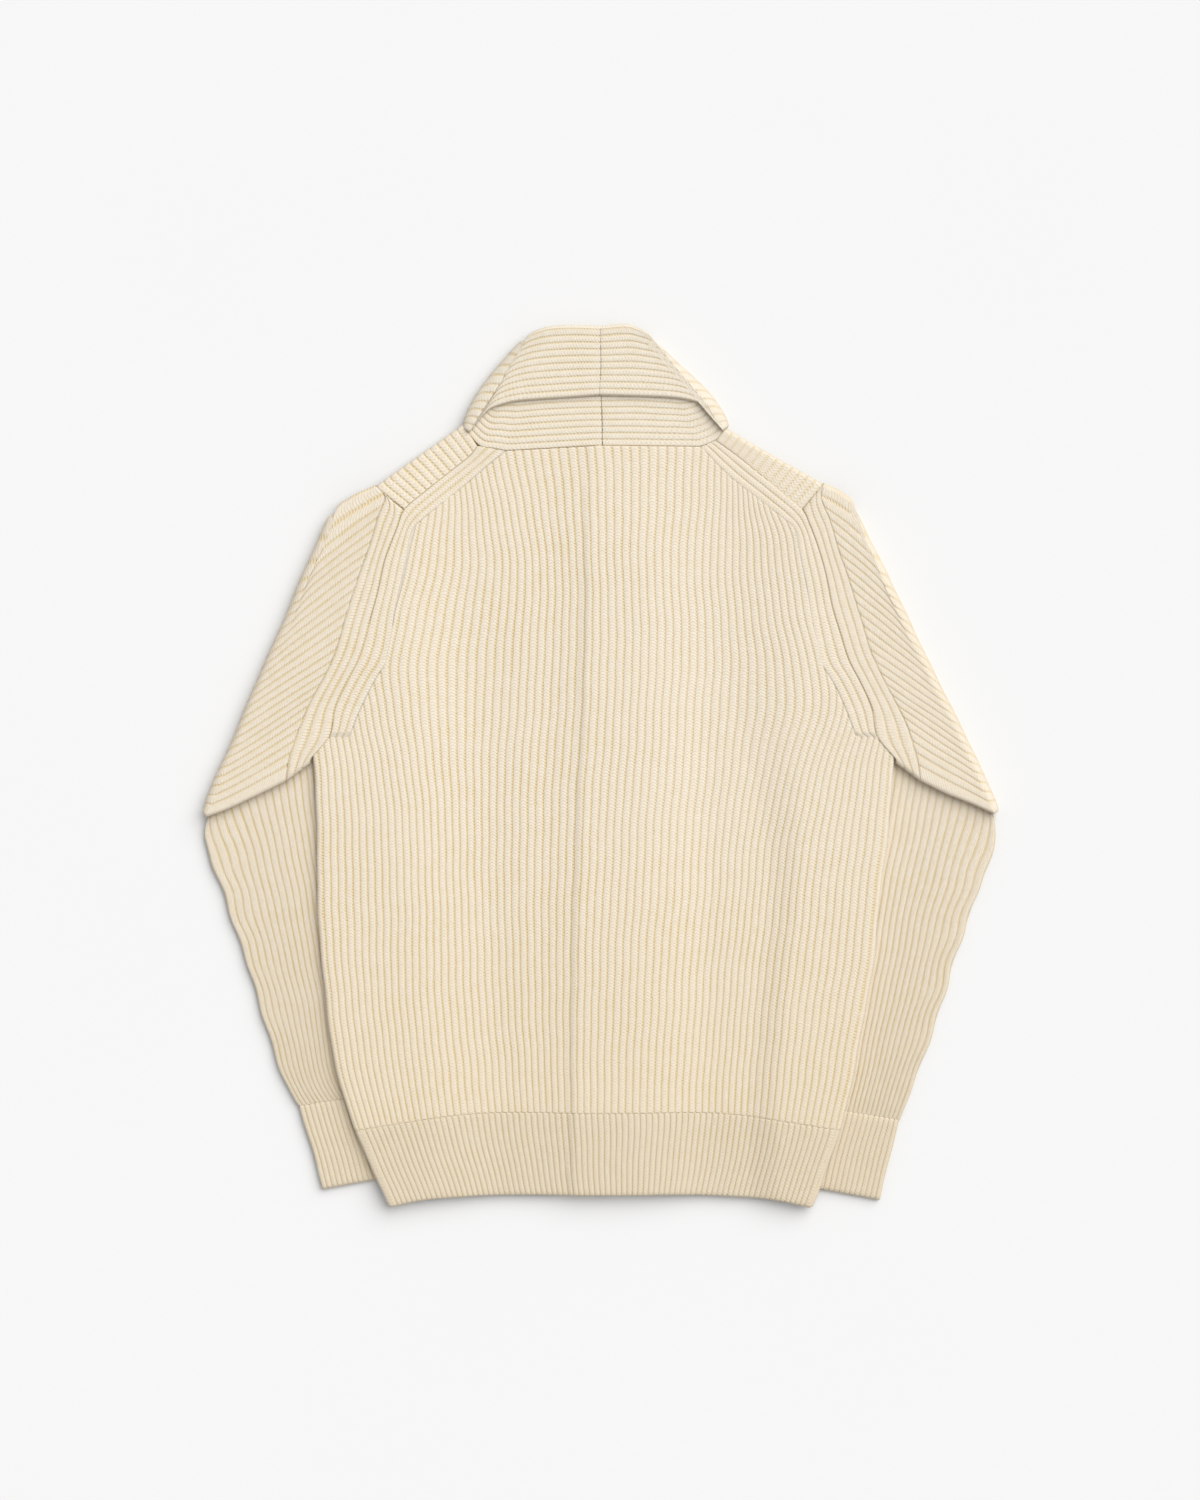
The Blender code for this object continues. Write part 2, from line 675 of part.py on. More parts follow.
def front(side):
    net = Net()
    seam = seam_rows(side, SEAM)
    corner = seam[SHOULDER_CORNER + 1]
    armhole = [tuple(p) for p in seam[1 : SHOULDER_CORNER + 2][::-1]]
    a, b = seam[0], seam[1]
    start_y = solve(5, 40, lambda y: side * side_x(side, y) < np.interp(y, (a[1], b[1]), (a[0], b[0])))
    end_y = hem_y(side_x(side, HEM[0][1]), 1) + SEAM
    inner_rows = [y for y in steps(-300, 290, ROW_STEP)[::-1] if end_y + 20 < y < start_y - 12]
    sides = [(side * float(side_x(side, y)) - SEAM, y) for y in (start_y, *inner_rows, end_y)]
    bottom = [(out, hem_y(side * out, 1) + SEAM) for out in (195, 165, 135, 110, 85)]
    lapel = [r[1] for r in COLLAR[side] if r[0] == 1][::-1]
    inner = [(p[0] + 2 * SEAM, p[1]) for p in lapel[1:]]
    inner = [(inner[0][0], hem_y(side * inner[0][0], 1) + SEAM)] + inner
    outline = armhole + sides + bottom + inner
    creases = []
    for before in (88, 70, 50, 30, 12):
        creases.append([(float(inner_edge(y)) - before, y) for y in range(-290, 120, 58)])
    spots = [(out, y) for out in (90, 115) for y in range(-290, 240, 58)]
    skins, loops = [], []
    for height, count, ribbed in ((0.0, STRIP_RIBS * LINES_PER_RIB + 1, True), (WALL, 5, False)):
        rows = [net.line(place, z) for place, z in strip_rows(side, count, ribbed, height)]
        for row, following in zip(rows, rows[1:]):
            net.join(row, following, range(count), range(count))
        edge = net.line(outline, [front_height(p[0], p[1]) + height for p in outline])
        loop = rows[-1] + edge
        first = len(net.points)
        net.fill(loop, 0.0, creases, spots)
        for i in range(first, len(net.points)):
            out, y, _ = net.points[i]
            net.points[i] = (out, y, float(front_height(out, y)) + height)
        skins.append(rows)
        loops.append(edge)
    outer, inside = skins
    shares = [np.linspace(0, 1, len(rows[0])) for rows in skins]
    net.join(outer[0], inside[0], *shares)
    for end in (0, -1):
        a, b = [row[end] for row in outer], [row[end] for row in inside]
        net.join(a, b, range(len(a)), range(len(b)))
    a, b = loops
    a, b = [outer[-1][-1], *a, outer[-1][0]], [inside[-1][-1], *b, inside[-1][0]]
    net.join(a, b, range(len(a)), range(len(b)))
    return net


# ---------------------------------------------------------------- folded pieces


class Fold:
    """A straight fold that turns a piece under: it lays the two runs and the turn between them."""

    def __init__(self, first, last, radius, half):
        a, b = np.array(first, float), np.array(last, float)
        run = (b - a) / np.linalg.norm(b - a)
        self.radius = radius
        self.run = run
        self.inward = np.array([run[1], -run[0]])
        self.ends = (a + self.inward * (radius + half + RIB), b + self.inward * (radius + half + RIB))

    def lay(self, base, heights, turn):
        base, radius = np.asarray(base, float), self.radius + np.asarray(heights, float)
        angle = math.radians(turn)
        near = np.minimum((base - self.ends[0]) @ self.run, (self.ends[1] - base) @ self.run)
        rounding = 1 - np.clip(near / FOLD_END, 0, 1)
        reach = FOLD_END_WIDTH + (1 - FOLD_END_WIDTH) * np.sqrt(1 - rounding**2)
        place = base - self.inward * (radius * math.sin(angle) * reach)[:, None]
        return np.column_stack([place, FOLD_Z + radius * math.cos(angle)])


def patch(first, last, low, high):
    """A surface between four lines: low and high are its sides, from first to last."""

    def at(shares, v):
        q = np.asarray(shares, float)[:, None]
        a, b = along(first, q[:, 0]), along(last, q[:, 0])
        e, t = smooth_along(low, v), smooth_along(high, v)
        ends = [along(line, [s])[0] for line in (first, last) for s in (0, 1)]
        flat_e, flat_t = ends[0] * (1 - v) + ends[2] * v, ends[1] * (1 - v) + ends[3] * v
        return a * (1 - v) + b * v + (e - flat_e) * (1 - q) + (t - flat_t) * q

    return at


def smooth_along(points, share):
    p = np.asarray(points, float)
    reach = np.concatenate([[0], np.cumsum(np.linalg.norm(np.diff(p, axis=0), axis=1))])
    return curve(share * reach[-1], reach, p)


def half_shares(ribs):
    """Shares across half of a tube, with lines on every rib crest and groove, or a few if it is plain."""
    return np.linspace(0, 1, ribs * LINES_PER_RIB + 1) if ribs else np.array(PLAIN_SHARES)


def half_heights(shares, ribs, rise=1.0):
    heights = np.array([TUBE_H + (RIB * rise * rib_profile(q * ribs) if ribs else 0.0) for q in shares])
    heights[[0, -1]] = TUBE_EDGE_H
    return heights


def tube(net, fold, rows, ribs):
    """A flattened tube. A row is (base of the shares, turn, ribs above, ribs below)."""
    skins = []
    for sign, height in ((1, None), (-1, None), (1, SLIT), (-1, SLIT)):
        chains = []
        for base, turn, above, below in rows:
            ribbed = above if sign > 0 else below
            if height is None:
                if isinstance(ribbed, tuple):
                    shares, heights = np.array(ribbed[0]), np.full(len(ribbed[0]), ribbed[1])
                    heights[[0, -1]] = TUBE_EDGE_H
                else:
                    shares = half_shares(ribbed)
                    heights = half_heights(shares, ribbed)
            else:
                ends = base(np.array([0.0, 1.0]))
                inset = WALL / np.linalg.norm(ends[1] - ends[0])
                inside = above[0] if isinstance(below, tuple) else PLAIN_SHARES
                shares = np.array([inset, *inside[1:-1], 1 - inset])
                heights = np.full(len(shares), height)
            place = fold.lay(base(shares), sign * heights, turn)
            chains.append((net.line(place[:, :2], place[:, 2]), shares))
        for (a, key_a), (b, key_b) in zip(chains, chains[1:]):
            net.join(a, b, key_a, key_b)
        skins.append(chains)
    above, below, inner_above, inner_below = skins
    count = range(len(rows))
    for end in (0, -1):
        for a, b in ((above, below), (inner_above, inner_below)):
            net.join([c[0][end] for c in a], [c[0][end] for c in b], count, count)
        for a, b in ((above, inner_above), (below, inner_below)):
            net.join(a[end][0], b[end][0], a[end][1], b[end][1])
        for side in (0, -1):
            outer = [above[end][0][side], below[end][0][side]]
            inner = [inner_above[end][0][side], inner_below[end][0][side]]
            net.join(outer, inner, (0, 1), (0, 1))


# ---------------------------------------------------------------- sleeves and cuffs


def sleeve(side):
    net = Net()
    fold = Fold(*FOLD_LINE[side], FOLD_R, TUBE_H)
    shift = np.array([SHOULDER_SHIFT * side, 0])
    table = np.array(SLEEVE_BAND, float)[::-1]
    band = table[:, 2:] + shift
    seam = seam_rows(side, -SEAM)[: SHOULDER_CORNER + 2]
    seam = np.vstack([table[0, :2] + shift, seam])
    body_side = side * float(rib_x(0 if side < 0 else RIB_COUNT, ARMPIT[1]))
    seam[:2, 0] = np.maximum(seam[:2, 0], body_side) + 1.6
    seam[1, 1] += 2.2
    top, elbow = fold.ends
    head = [band[-1], *SLEEVE_HEAD[side], top]
    under = [band[0], *UNDERARM[1:], elbow]
    upper = patch(band, [elbow, top], under, head)
    outer, inner, _, _ = (np.array(p, float) for p in CUFF[side])
    lower = patch([elbow, top], [outer, inner], [elbow, *LOWER_EDGE, outer], [top, *INNER_EDGE, inner])

    # Stations along the seam: its own corners
    reach = np.concatenate([[0], np.cumsum(np.linalg.norm(np.diff(seam, axis=0), axis=1))])
    stations = reach / reach[-1]
    count = (BAND_LAST - BAND_FIRST) * LINES_PER_RIB
    rows = []
    for j in range(count):
        share = j / count

        def base(q, share=share):
            return along(seam, q) * (1 - share) + along(band, q) * share

        height = TUBE_H + RIB * rib_profile(j / LINES_PER_RIB) if j else TUBE_H
        rows.append((base, 0, (stations, height), (stations, TUBE_H) if j == 0 else 0))
    flat = (half_shares(SLEEVE_RIBS), TUBE_H)
    rows.append((lambda q: upper(q, 0.0), 0, flat, 0))
    for v in UPPER_ROWS:
        rows.append((lambda q, v=v: upper(q, v), 0, SLEEVE_RIBS, 0))
    for turn in FOLD_TURNS:
        ribs = SLEEVE_RIBS if turn < 180 else 0
        rows.append((lambda q: along([elbow, top], q), turn, ribs, 0))
    for v in LOWER_ROWS:
        rows.append((lambda q, v=v: lower(q, v), 180, 0, SLEEVE_RIBS))
    tube(net, fold, rows, SLEEVE_RIBS)
    return net


def cuff(side):
    net = Net()
    fold = Fold(*FOLD_LINE[side], FOLD_R, TUBE_H)
    outer, inner, edge_outer, edge_inner = (np.array(p, float) for p in CUFF[side])
    across = (inner - outer) / np.linalg.norm(inner - outer)
    down = (edge_outer - outer) / np.linalg.norm(edge_outer - outer)
    a = (outer + across * CUFF_STEP + down * 2 * SEAM, inner - across * CUFF_STEP + down * 2 * SEAM)
    b = (edge_outer, edge_inner)
    rows = []
    for v in (0.0, 0.5, 1.0):
        ends = (a[0] * (1 - v) + b[0] * v, a[1] * (1 - v) + b[1] * v)
        rows.append((lambda q, ends=ends: along(ends, q), 180, 0, CUFF_RIBS))
    tube(net, fold, rows, CUFF_RIBS)
    return net


# ---------------------------------------------------------------- collar


def collar_ring(seam, roll, free, ribbed):
    """One section of a collar half, round from the seam below the stand: places, heights and keys."""
    seam, roll, free = (np.array(p, float) for p in (seam, roll, free))
    width = np.linalg.norm(roll - seam)
    across = (roll - seam) / width
    turn = width - COLLAR_H - RIB
    start = seam + across * turn
    fall = np.linspace(0, 1, COLLAR_FALL_RIBS * LINES_PER_RIB + 1 if ribbed else 3)
    stand = np.linspace(1, 0, COLLAR_STAND_RIBS * LINES_PER_RIB + 1 if ribbed else 2)
    seen = width * STAND_SEEN
    ring = [(seam + across * turn * f, -COLLAR_H, f) for f in (0, 0.5, 1)]
    for turned in (45, 90, 135):
        angle = math.radians(turned)
        place = seam + across * (turn + COLLAR_H * math.sin(angle))
        ring.append((place, -COLLAR_H * math.cos(angle), 1 + turned / 180))
    for f in fall:
        rise = RIB * rib_profile(f * COLLAR_FALL_RIBS) if ribbed else 0
        ring.append((start + (free - start) * f, COLLAR_H + rise, 2 + f))
    ring += [(free + (start - free) * f, COLLAR_SLIT, 4 + f) for f in (0, 0.5, 1)]
    ring.append((seam + across * (turn + COLLAR_SLIT), 0.0, 5.5))
    ring.append((start, -COLLAR_SLIT, 6))
    for f in stand:
        rise = RIB * rib_profile(f * COLLAR_STAND_RIBS) if ribbed else 0
        ring.append((seam + across * seen * f, -COLLAR_SLIT + rise, 8 - f))
    places = np.array([p for p, _, _ in ring])
    heights = np.array([h for _, h, _ in ring])
    return places, heights, [k for _, _, k in ring]


def collar(side):
    net = Net()
    seam_end, roll_end = CREASE[side]
    fold = Fold(roll_end, seam_end, COLLAR_FOLD_R, COLLAR_H)
    roll_axis, seam_axis = fold.ends
    free_axis = seam_axis + (roll_axis - seam_axis) * CREASE_FREE / np.linalg.norm(roll_axis - seam_axis)
    rows = []
    for layer, seam, roll, free in COLLAR[side]:
        if layer == 0:
            rows.append(((neck(side, seam[0]), roll, free), 0, True))
    for turn in FOLD_TURNS:
        rows.append(((seam_axis, roll_axis, free_axis), turn, turn < 180))
    for layer, seam, roll, free in COLLAR[side]:
        if layer == 1:
            rows.append(((seam, roll, free), 180, False))
    rings = []
    for corners, turn, ribbed in rows:
        places, heights, keys = collar_ring(*corners, ribbed)
        laid = fold.lay(places, heights, turn)
        rings.append((net.line(laid[:, :2], laid[:, 2]), keys, laid))
    for (a, key_a, _), (b, key_b, _) in zip(rings, rings[1:]):
        net.join(a + a[:1], b + b[:1], [*key_a, 9], [*key_b, 9])
    for end in (0, -1):
        chain, _, laid = rings[end]
        first = laid[0]
        run = laid[2] - first
        run /= np.linalg.norm(run)
        net.fill(chain, 0.0, section=[(float((p - first) @ run), float(p[2])) for p in laid])
    return net


def neck(side, out):
    """The neck seam of the collar at a distance from the middle."""
    end = band_rows(side)[-1]
    corner = seam_rows(side, 0)[-1]
    y = np.interp(out, (2, end[0], corner[0]), (NECK_MIDDLE_Y, end[1], corner[1]))
    return (out, float(y) + 2 * SEAM)


def main():
    for old in list(bpy.data.objects):
        bpy.data.objects.remove(old)
    build("back", back_panel(), place_back)
    build("back_hem", hem_band(), place_back)
    for side, name in ((-1, "left"), (1, "right")):
        place = place_front(side)
        build("front_hem_" + name, front_hem(side), place_hem(side))
        build("front_" + name, front(side), place)
        build("sleeve_" + name, sleeve(side), place)
        build("cuff_" + name, cuff(side), place)
        build("collar_" + name, collar(side), place)


main()
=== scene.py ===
"""Looks of a shawl collar cardigan in heavy ribbed wool, face down, its sleeves folded under.

Each piece of knit is made again as a closed shell with round ribs, over the plain
solid it stands for. Lengths are in millimetres and become metres when a mesh is
made; "out" is a distance from the middle of the garment towards either side.
"""

import math
from functools import partial

import bmesh
import bpy
import numpy as np
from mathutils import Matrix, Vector
from mathutils.geometry import delaunay_2d_cdt


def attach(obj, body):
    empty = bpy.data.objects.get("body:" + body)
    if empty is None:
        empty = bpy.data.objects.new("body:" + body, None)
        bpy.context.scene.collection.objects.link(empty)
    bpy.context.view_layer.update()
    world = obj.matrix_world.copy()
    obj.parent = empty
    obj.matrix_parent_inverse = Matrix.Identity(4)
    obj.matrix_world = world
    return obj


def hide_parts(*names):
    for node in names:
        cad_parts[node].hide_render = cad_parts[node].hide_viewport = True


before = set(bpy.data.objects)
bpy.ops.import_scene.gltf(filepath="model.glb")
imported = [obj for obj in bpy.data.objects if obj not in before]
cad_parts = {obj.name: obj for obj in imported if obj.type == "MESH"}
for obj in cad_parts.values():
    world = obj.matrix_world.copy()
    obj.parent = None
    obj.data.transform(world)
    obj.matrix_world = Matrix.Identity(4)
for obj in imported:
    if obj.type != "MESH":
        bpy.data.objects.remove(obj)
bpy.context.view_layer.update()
bpy.ops.object.select_all(action="DESELECT")

MM = 0.001
ORIGIN = (1.4, 1.0, 0.0)  # middle of the outline, where the part's origin lies

# Knitted wall
WALL = 3.0  # plain thickness of the knit
RIB = 1.3  # room for a rib above the plain wall
RISE = 0.55  # how far a rib stands above the groove beside it
SEAM = 0.04  # half of the gap between two sewn pieces

# Flattened tube, such as a sleeve: half thicknesses and the fold that turns it under
SLIT = 0.25  # half of the gap between the two layers
TUBE_H = SLIT + WALL
TUBE_EDGE_H = 1.6  # half height of the blunt side edge of a tube
FOLD_R = 4.9  # radius of the sleeve's middle surface where it is folded under
FOLD_Z = TUBE_H + FOLD_R
FOLD_ENDS = ((14.0, 0.8), (24.0, 0.6))  # at each end: length rounded off, share of width left
BOW_PEAK = 6.75  # makes a bow's bulge reach its whole size at its widest place

# Body
RIB_COUNT = 76  # ribs across the back
BAND_FIRST, BAND_LAST = 3, 6  # ribs at the armpit that run on as the armhole band
SIDE_R = 0.6  # inner radius of the rolled side edge
SIDE_INSET = SIDE_R + WALL + RIB  # from the silhouette to the start of the roll
SIDE_REACH = 4.0  # cloth past the start of the roll
SHOULDER_SHIFT = 3.0  # the shoulders sit this far to the right of the middle

# Rib guides: height, then the place of ribs 0, 12, 24, 38, 52, 64 and 76.
GUIDE_RIBS = (0, 12, 24, 38, 52, 64, 76)
GUIDES = (
    # y, rib 0, rib 12, rib 24, rib 38, rib 52, rib 64, rib 76
    (-415, -199, -136, -73, 0, 74, 137, 200),
    (-337, -233, -166, -91, -9, 82, 155, 228),
    (-266, -253, -178, -97, -9, 86, 161, 243),
    (-196, -261, -183, -102, -8, 91, 169, 256),
    (-125, -267, -184, -104, -5, 97, 177, 264),
    (-55, -267, -186, -105, -2, 102, 186, 272),
    (7, -271, -193, -104, 2, 108, 200, 278),
    (54, -276, -201, -102, 5, 112, 214, 284),
    (91, -282, -206, -100, 7, 114, 211, 288),
    (138, -279, -197, -96, 7, 113, 200, 284),
    (195, -265, -183, -93, 6, 110, 190, 271),
    (222, -259, -178, -96, 5.5, 111, 184.5, 265),
    (242, -254, -173, -99, 5, 112, 176, 259),
    (303, -244, -165, -112, 3, 115, 164, 250),
)

# Armhole and shoulder from the armpit up to the neck: the seam, and the line
# where the ribs of the panel end at the three-rib band that follows the seam.
ARMHOLE = (
    # seam out, seam y, band out, band y
    (257.3, 28, 237.5, 28),
    (252, 55, 227, 55),
    (239, 83, 213, 83),
    (229, 105, 201, 104),
    (215, 152, 194, 150),
    (205, 195, 185, 195),
    (194, 226, 180, 222),
    (187, 242, 168, 234),
    (167, 259, 153, 246),
    (144, 278, 131, 263),
    (127, 292, 111, 281),
    (119, 303, 91, 297),
)
NECK_END = {-1: (116, 302, 89, 297), 1: (109, 307, 95, 301)}  # the last row, side by side
ARMPIT = (275, 7)
SHOULDER_CORNER = 7  # row of ARMHOLE where the armhole turns into the shoulder
NECK_MIDDLE = (2, 302)  # x and y of the neck seam at the centre back

# Hem band: share of the width, height of its join, height of its edge
HEM = (
    (0.0, -342, -415),
    (0.08, -336, -408),
    (0.2, -328, -404),
    (0.5, -326, -403),
    (0.8, -328, -404),
    (0.92, -336, -408),
    (1.0, -342, -415),
)
HEM_RIBS = 82
HEM_JOIN_X = (-230, 227)
HEM_EDGE_X = (-199, 200)

# Heights of the undersides above the floor
BACK_LOW = 7.0  # between the front bands and the folded sleeves
BACK_NECK = 9.0
BACK_HIGH = (12.1, 13.1)  # over the folded sleeves, at the hem and at the armholes
BANDS_UNDER = 1.3  # the doubled front bands lift the middle of the back by this much
FRONT_HIGH = 8.35
FRONT_NECK = 4.7  # over the lapels and the front bands
FRONT_NECK_RISE = (60, 250)
FRONT_BANDS_END = (75, 115)
CHEST = (-120, 120)  # from the lower sleeves, below, to the folded armholes
NECK_RISE = (0, 250)
ARMHOLE_RISE = (-60, 120)
BANDS_END = (66, 105)  # out: the doubled front bands end here
# Inside the folded sleeve's edge, where the cloth starts to rise and where it is up: at the
# hem, and how much more at the chest
BACK_RISE = ((50, 62), (16, 15))
FRONT_RISE = ((62, 33), (12, 3))
LEFT_RISE = 60  # the back starts this much sooner at its lower left

# Unevenness of the cloth as it lies, fading out towards the floor
LIFT = 0.22
SCALLOP = 1.3  # the lower sleeves' outer edges are scalloped by this much
SCALLOP_TOP = 60  # from this far below the middle on
SCALLOP_LEAN = 0.233  # an edge comes in by this share of the way down

# Sleeve, in out and y
FOLD_LINE = {-1: ((256, 240), (378, -43)), 1: ((241, 245), (379, -40))}
SLEEVE_HEAD = {-1: ((211, 265), (236, 253), (248, 243)), 1: ((210, 267), (230, 257), (238, 249))}
SLEEVE_BAND = (
    # where the sleeve's slanting ribs start, beside its armhole band: out, y
    (205, 256),
    (212, 234),
    (223, 197),
    (237, 156),
    (252, 108),
    (262, 84),
    (277, 56),
    (288, 30),
    (295, 8),
    (298, -13),
)
UNDER_SEAM = (275, 4)  # lower end of the sleeve's seam at the armpit
SEAM_CLEAR = (0.4, 0.6)  # the seam keeps this far outside the body there, and this far above
UNDERARM = {-1: ((329, -30), (353, -41)), 1: ((326, -25), (353, -36))}
LOWER_EDGE = (
    # outer edge of the lower sleeve from the elbow down: out, y
    *((373, -62), (369, -84), (360, -106), (353, -125), (344, -153)),
    *((334, -181), (323, -219), (308, -266), (290, -311)),
)
INNER_EDGE = ((232, 160), (214, -30), (201, -160), (187, -300))
SLEEVE_RIBS = 24  # across the sleeve
PLAIN_SHARES = (0.0, 0.05, 0.25, 0.5, 0.75, 0.95, 1.0)
CUFF = {
    # join outer, join inner, edge outer, edge inner
    -1: ((285, -319), (185, -303), (261, -398), (165, -380)),
    1: ((283, -332), (184, -316), (263, -408), (165, -390)),
}
CUFF_RIBS = 20
CUFF_STEP = 0.8  # the cuff is drawn in a little at its sides

# Front: the shoulder edge that turns up onto the back, and the centre front
SHOULDER_EDGE = {-1: ((129.6, 323), (211, 265)), 1: ((117.5, 320), (210, 267))}
STRIP_TRIM = 0.1  # the strip stops this far short of the collar and of the sleeve
FRONT_HEM_SHORT = 1.5  # the fronts end a little above the back
STRIP_RIBS = 13
STRIP_R = 0.8  # inner radius of the fold along the shoulder

# Collar: half thicknesses, and sections from the centre back round to the hem
COLLAR_SLIT = 0.85
COLLAR_H = COLLAR_SLIT + WALL
COLLAR_FOLD_R = 4.3
COLLAR_FALL_RIBS = 10
COLLAR_STAND_RIBS = 8
STAND_SEEN = 0.42  # share of the stand that shows below the fall
CREASE = {
    # ends of the crease at the side of the neck, on the outline: at the seam, at the roll line
    -1: ((132, 318), (76, 405)),
    1: ((124, 320.7), (47.5, 407.3)),
}
CREASE_FREE = 1.5  # the free edge of the fall meets the crease this far from the seam
COLLAR_OVER = {
    # sections of the upper run: seam, roll line, free edge, as out and y
    -1: (
        ((-2.2, 302), (0.12, 416), (0.12, 349)),
        ((28, 298), (26, 417), (28, 347)),
        ((60, 296), (46, 416), (57, 345)),
        ((83, 296), (56, 413.5), (80, 343)),
        ((101, 301), (63, 410.5), (99, 338)),
        ((113, 302), (68.5, 406), (109, 331.5)),
    ),
    1: (
        ((2.8, 302), (0.12, 416), (0.12, 349)),
        ((36, 303), (24, 418), (34, 348)),
        ((66, 305), (34, 415), (62, 347)),
        ((86, 305), (38, 413), (80, 345)),
        ((99, 306), (42.5, 410), (95, 341)),
        ((109, 307), (45, 407.5), (104, 335)),
    ),
}
FRONT_BAND = (
    # sections of the run turned under, from the lapel down, the same on both sides
    ((76, 100), (14, 122), (68, 103)),
    ((66, 20), (1.2, 24), (50, 21)),
    ((62, -60), (1.2, -60), (44, -60)),
    ((62, -230), (1.2, -230), (44, -230)),
    ((62, -402), (1.2, -402), (44, -402)),
)
COLLAR_UNDER = {
    -1: (((108, 262), (68, 345), (104, 270)), ((92, 180), (40, 240), (86, 187)), *FRONT_BAND),
    1: (((103, 262), (56, 345), (98, 270)), ((90, 180), (36, 240), (83, 187)), *FRONT_BAND),
}

# Soft crease of the back where it lies over the front bands
CREASE_STEP = 4.2
CREASE_MIDDLE = (-9.4, -23.5)  # x at the neck and at the hem
CREASE_SLOPES = ((0.55, -9, 2), (0.45, -40, -2))  # share of the step, and where beside its middle
CREASE_FALL = (30.0, 110.0)  # it fades out between these, to the right of the middle

# Fineness of the knit's surface
STITCH = 2.9  # height of a stitch, along a rib
GROUND_PITCH = 7.0  # ribs of the parts that carry no knit of their own
LINES_PER_RIB = 6
ROW_STEP = 9.0
RIB_ROUND = 0.5  # below 1 the ribs are full and their grooves narrow
FOLD_TURNS = tuple(range(0, 181, 12))
UPPER_ROWS = tuple(np.linspace(0.015, 0.98, 24))
LOWER_ROWS = tuple(np.linspace(0.02, 1.0, 44))
CUFF_ROWS = (0.0, 0.03, *np.linspace(0.1, 0.9, 8), 0.95, 0.98, 1.0)
SELVEDGE = 0.05  # share of the sleeve's width that is plain knit beside the underarm seam
SELVEDGE_LINES = 6
SELVEDGE_RISE = 0.45  # it bulges by this share of a rib's rise
SELVEDGE_CROSS = 0.35  # and is coloured like this place between a rib's crest and its groove
RIB_LEAN = ((0.0, 0.0), (0.25, 0.205), (0.5, 0.43), (0.75, 0.67), (0.917, 0.845), (1.0, 1.0))
FOLD_SLANT = 0.06  # share of the fold that a rib moves down it in a quarter turn
EDGE_ROUND = 3.0  # a sleeve's side edge is rounded off over this length
COLLAR_ROWS = (0, 0.04, 0.12, 0.2, 0.27, 0.3, 0.36, *np.linspace(0.5, 6, 24)[:-1])
COLLAR_FOLD_SLANT = 0.2
COLLAR_FOLD_END = ((20.0, 0.55), (12.0, 0.6))  # the same for the collar's side fold
COLLAR_BOW = 6.0  # the side fold of the collar bulges this far
COLLAR_SELVEDGE = 7.5  # plain strip of the left collar half beside the middle seam
COLLAR_RIM = 2.6  # the free edge of the collar's fall is rounded off over this length
RIM_ROUND = 3.5  # the cast-off rims of the bands are rounded off over this length


def curve(at, stations, values):
    """Values on a smooth curve through the stations, straight past its ends."""
    x, y = np.asarray(stations, float), np.asarray(values, float)
    slope = np.gradient(y, x, axis=0)
    at = np.asarray(at, float)
    i = np.clip(np.searchsorted(x, at) - 1, 0, len(x) - 2)
    span = x[i + 1] - x[i]
    f = np.clip((at - x[i]) / span, 0, 1)
    past = at - np.clip(at, x[0], x[-1])
    if y.ndim > 1:
        f, span, past = f[..., None], span[..., None], past[..., None]
    a, b = 2 * f**3 - 3 * f**2 + 1, f**3 - 2 * f**2 + f
    c, d = 3 * f**2 - 2 * f**3, f**3 - f**2
    inside = a * y[i] + b * span * slope[i] + c * y[i + 1] + d * span * slope[i + 1]
    end = np.where(past > 0, slope[-1], slope[0])
    return inside + past * end


def ease(low, high, at):
    """0 below low, 1 above high, and a soft step between."""
    f = np.clip((np.asarray(at, float) - low) / (high - low), 0, 1)
    return f * f * (3 - 2 * f)


def steps(low, high, step):
    return np.linspace(low, high, max(2, int(math.ceil(abs(high - low) / step)) + 1))


def across_rib(share):
    """0 on the crest of a rib and 1 in the groove, at a rib number or an array of them."""
    return np.abs(2 * (np.asarray(share, float) % 1.0) - 1)


def rib_profile(share):
    """Height of a rib, 0 in its grooves and 1 on its crest."""
    return np.cos(across_rib(share) * math.pi / 2).clip(0, 1) ** RIB_ROUND


def reach(points):
    """How far along a bent line each of its points lies."""
    return np.concatenate([[0], np.cumsum(np.linalg.norm(np.diff(points, axis=0), axis=1))])


def unit(vector):
    return vector / np.linalg.norm(vector)


def solve(low, high, test):
    """Where test turns from true to false between low and high."""
    for _ in range(26):
        middle = (low + high) / 2
        low, high = (middle, high) if test(middle) else (low, middle)
    return (low + high) / 2


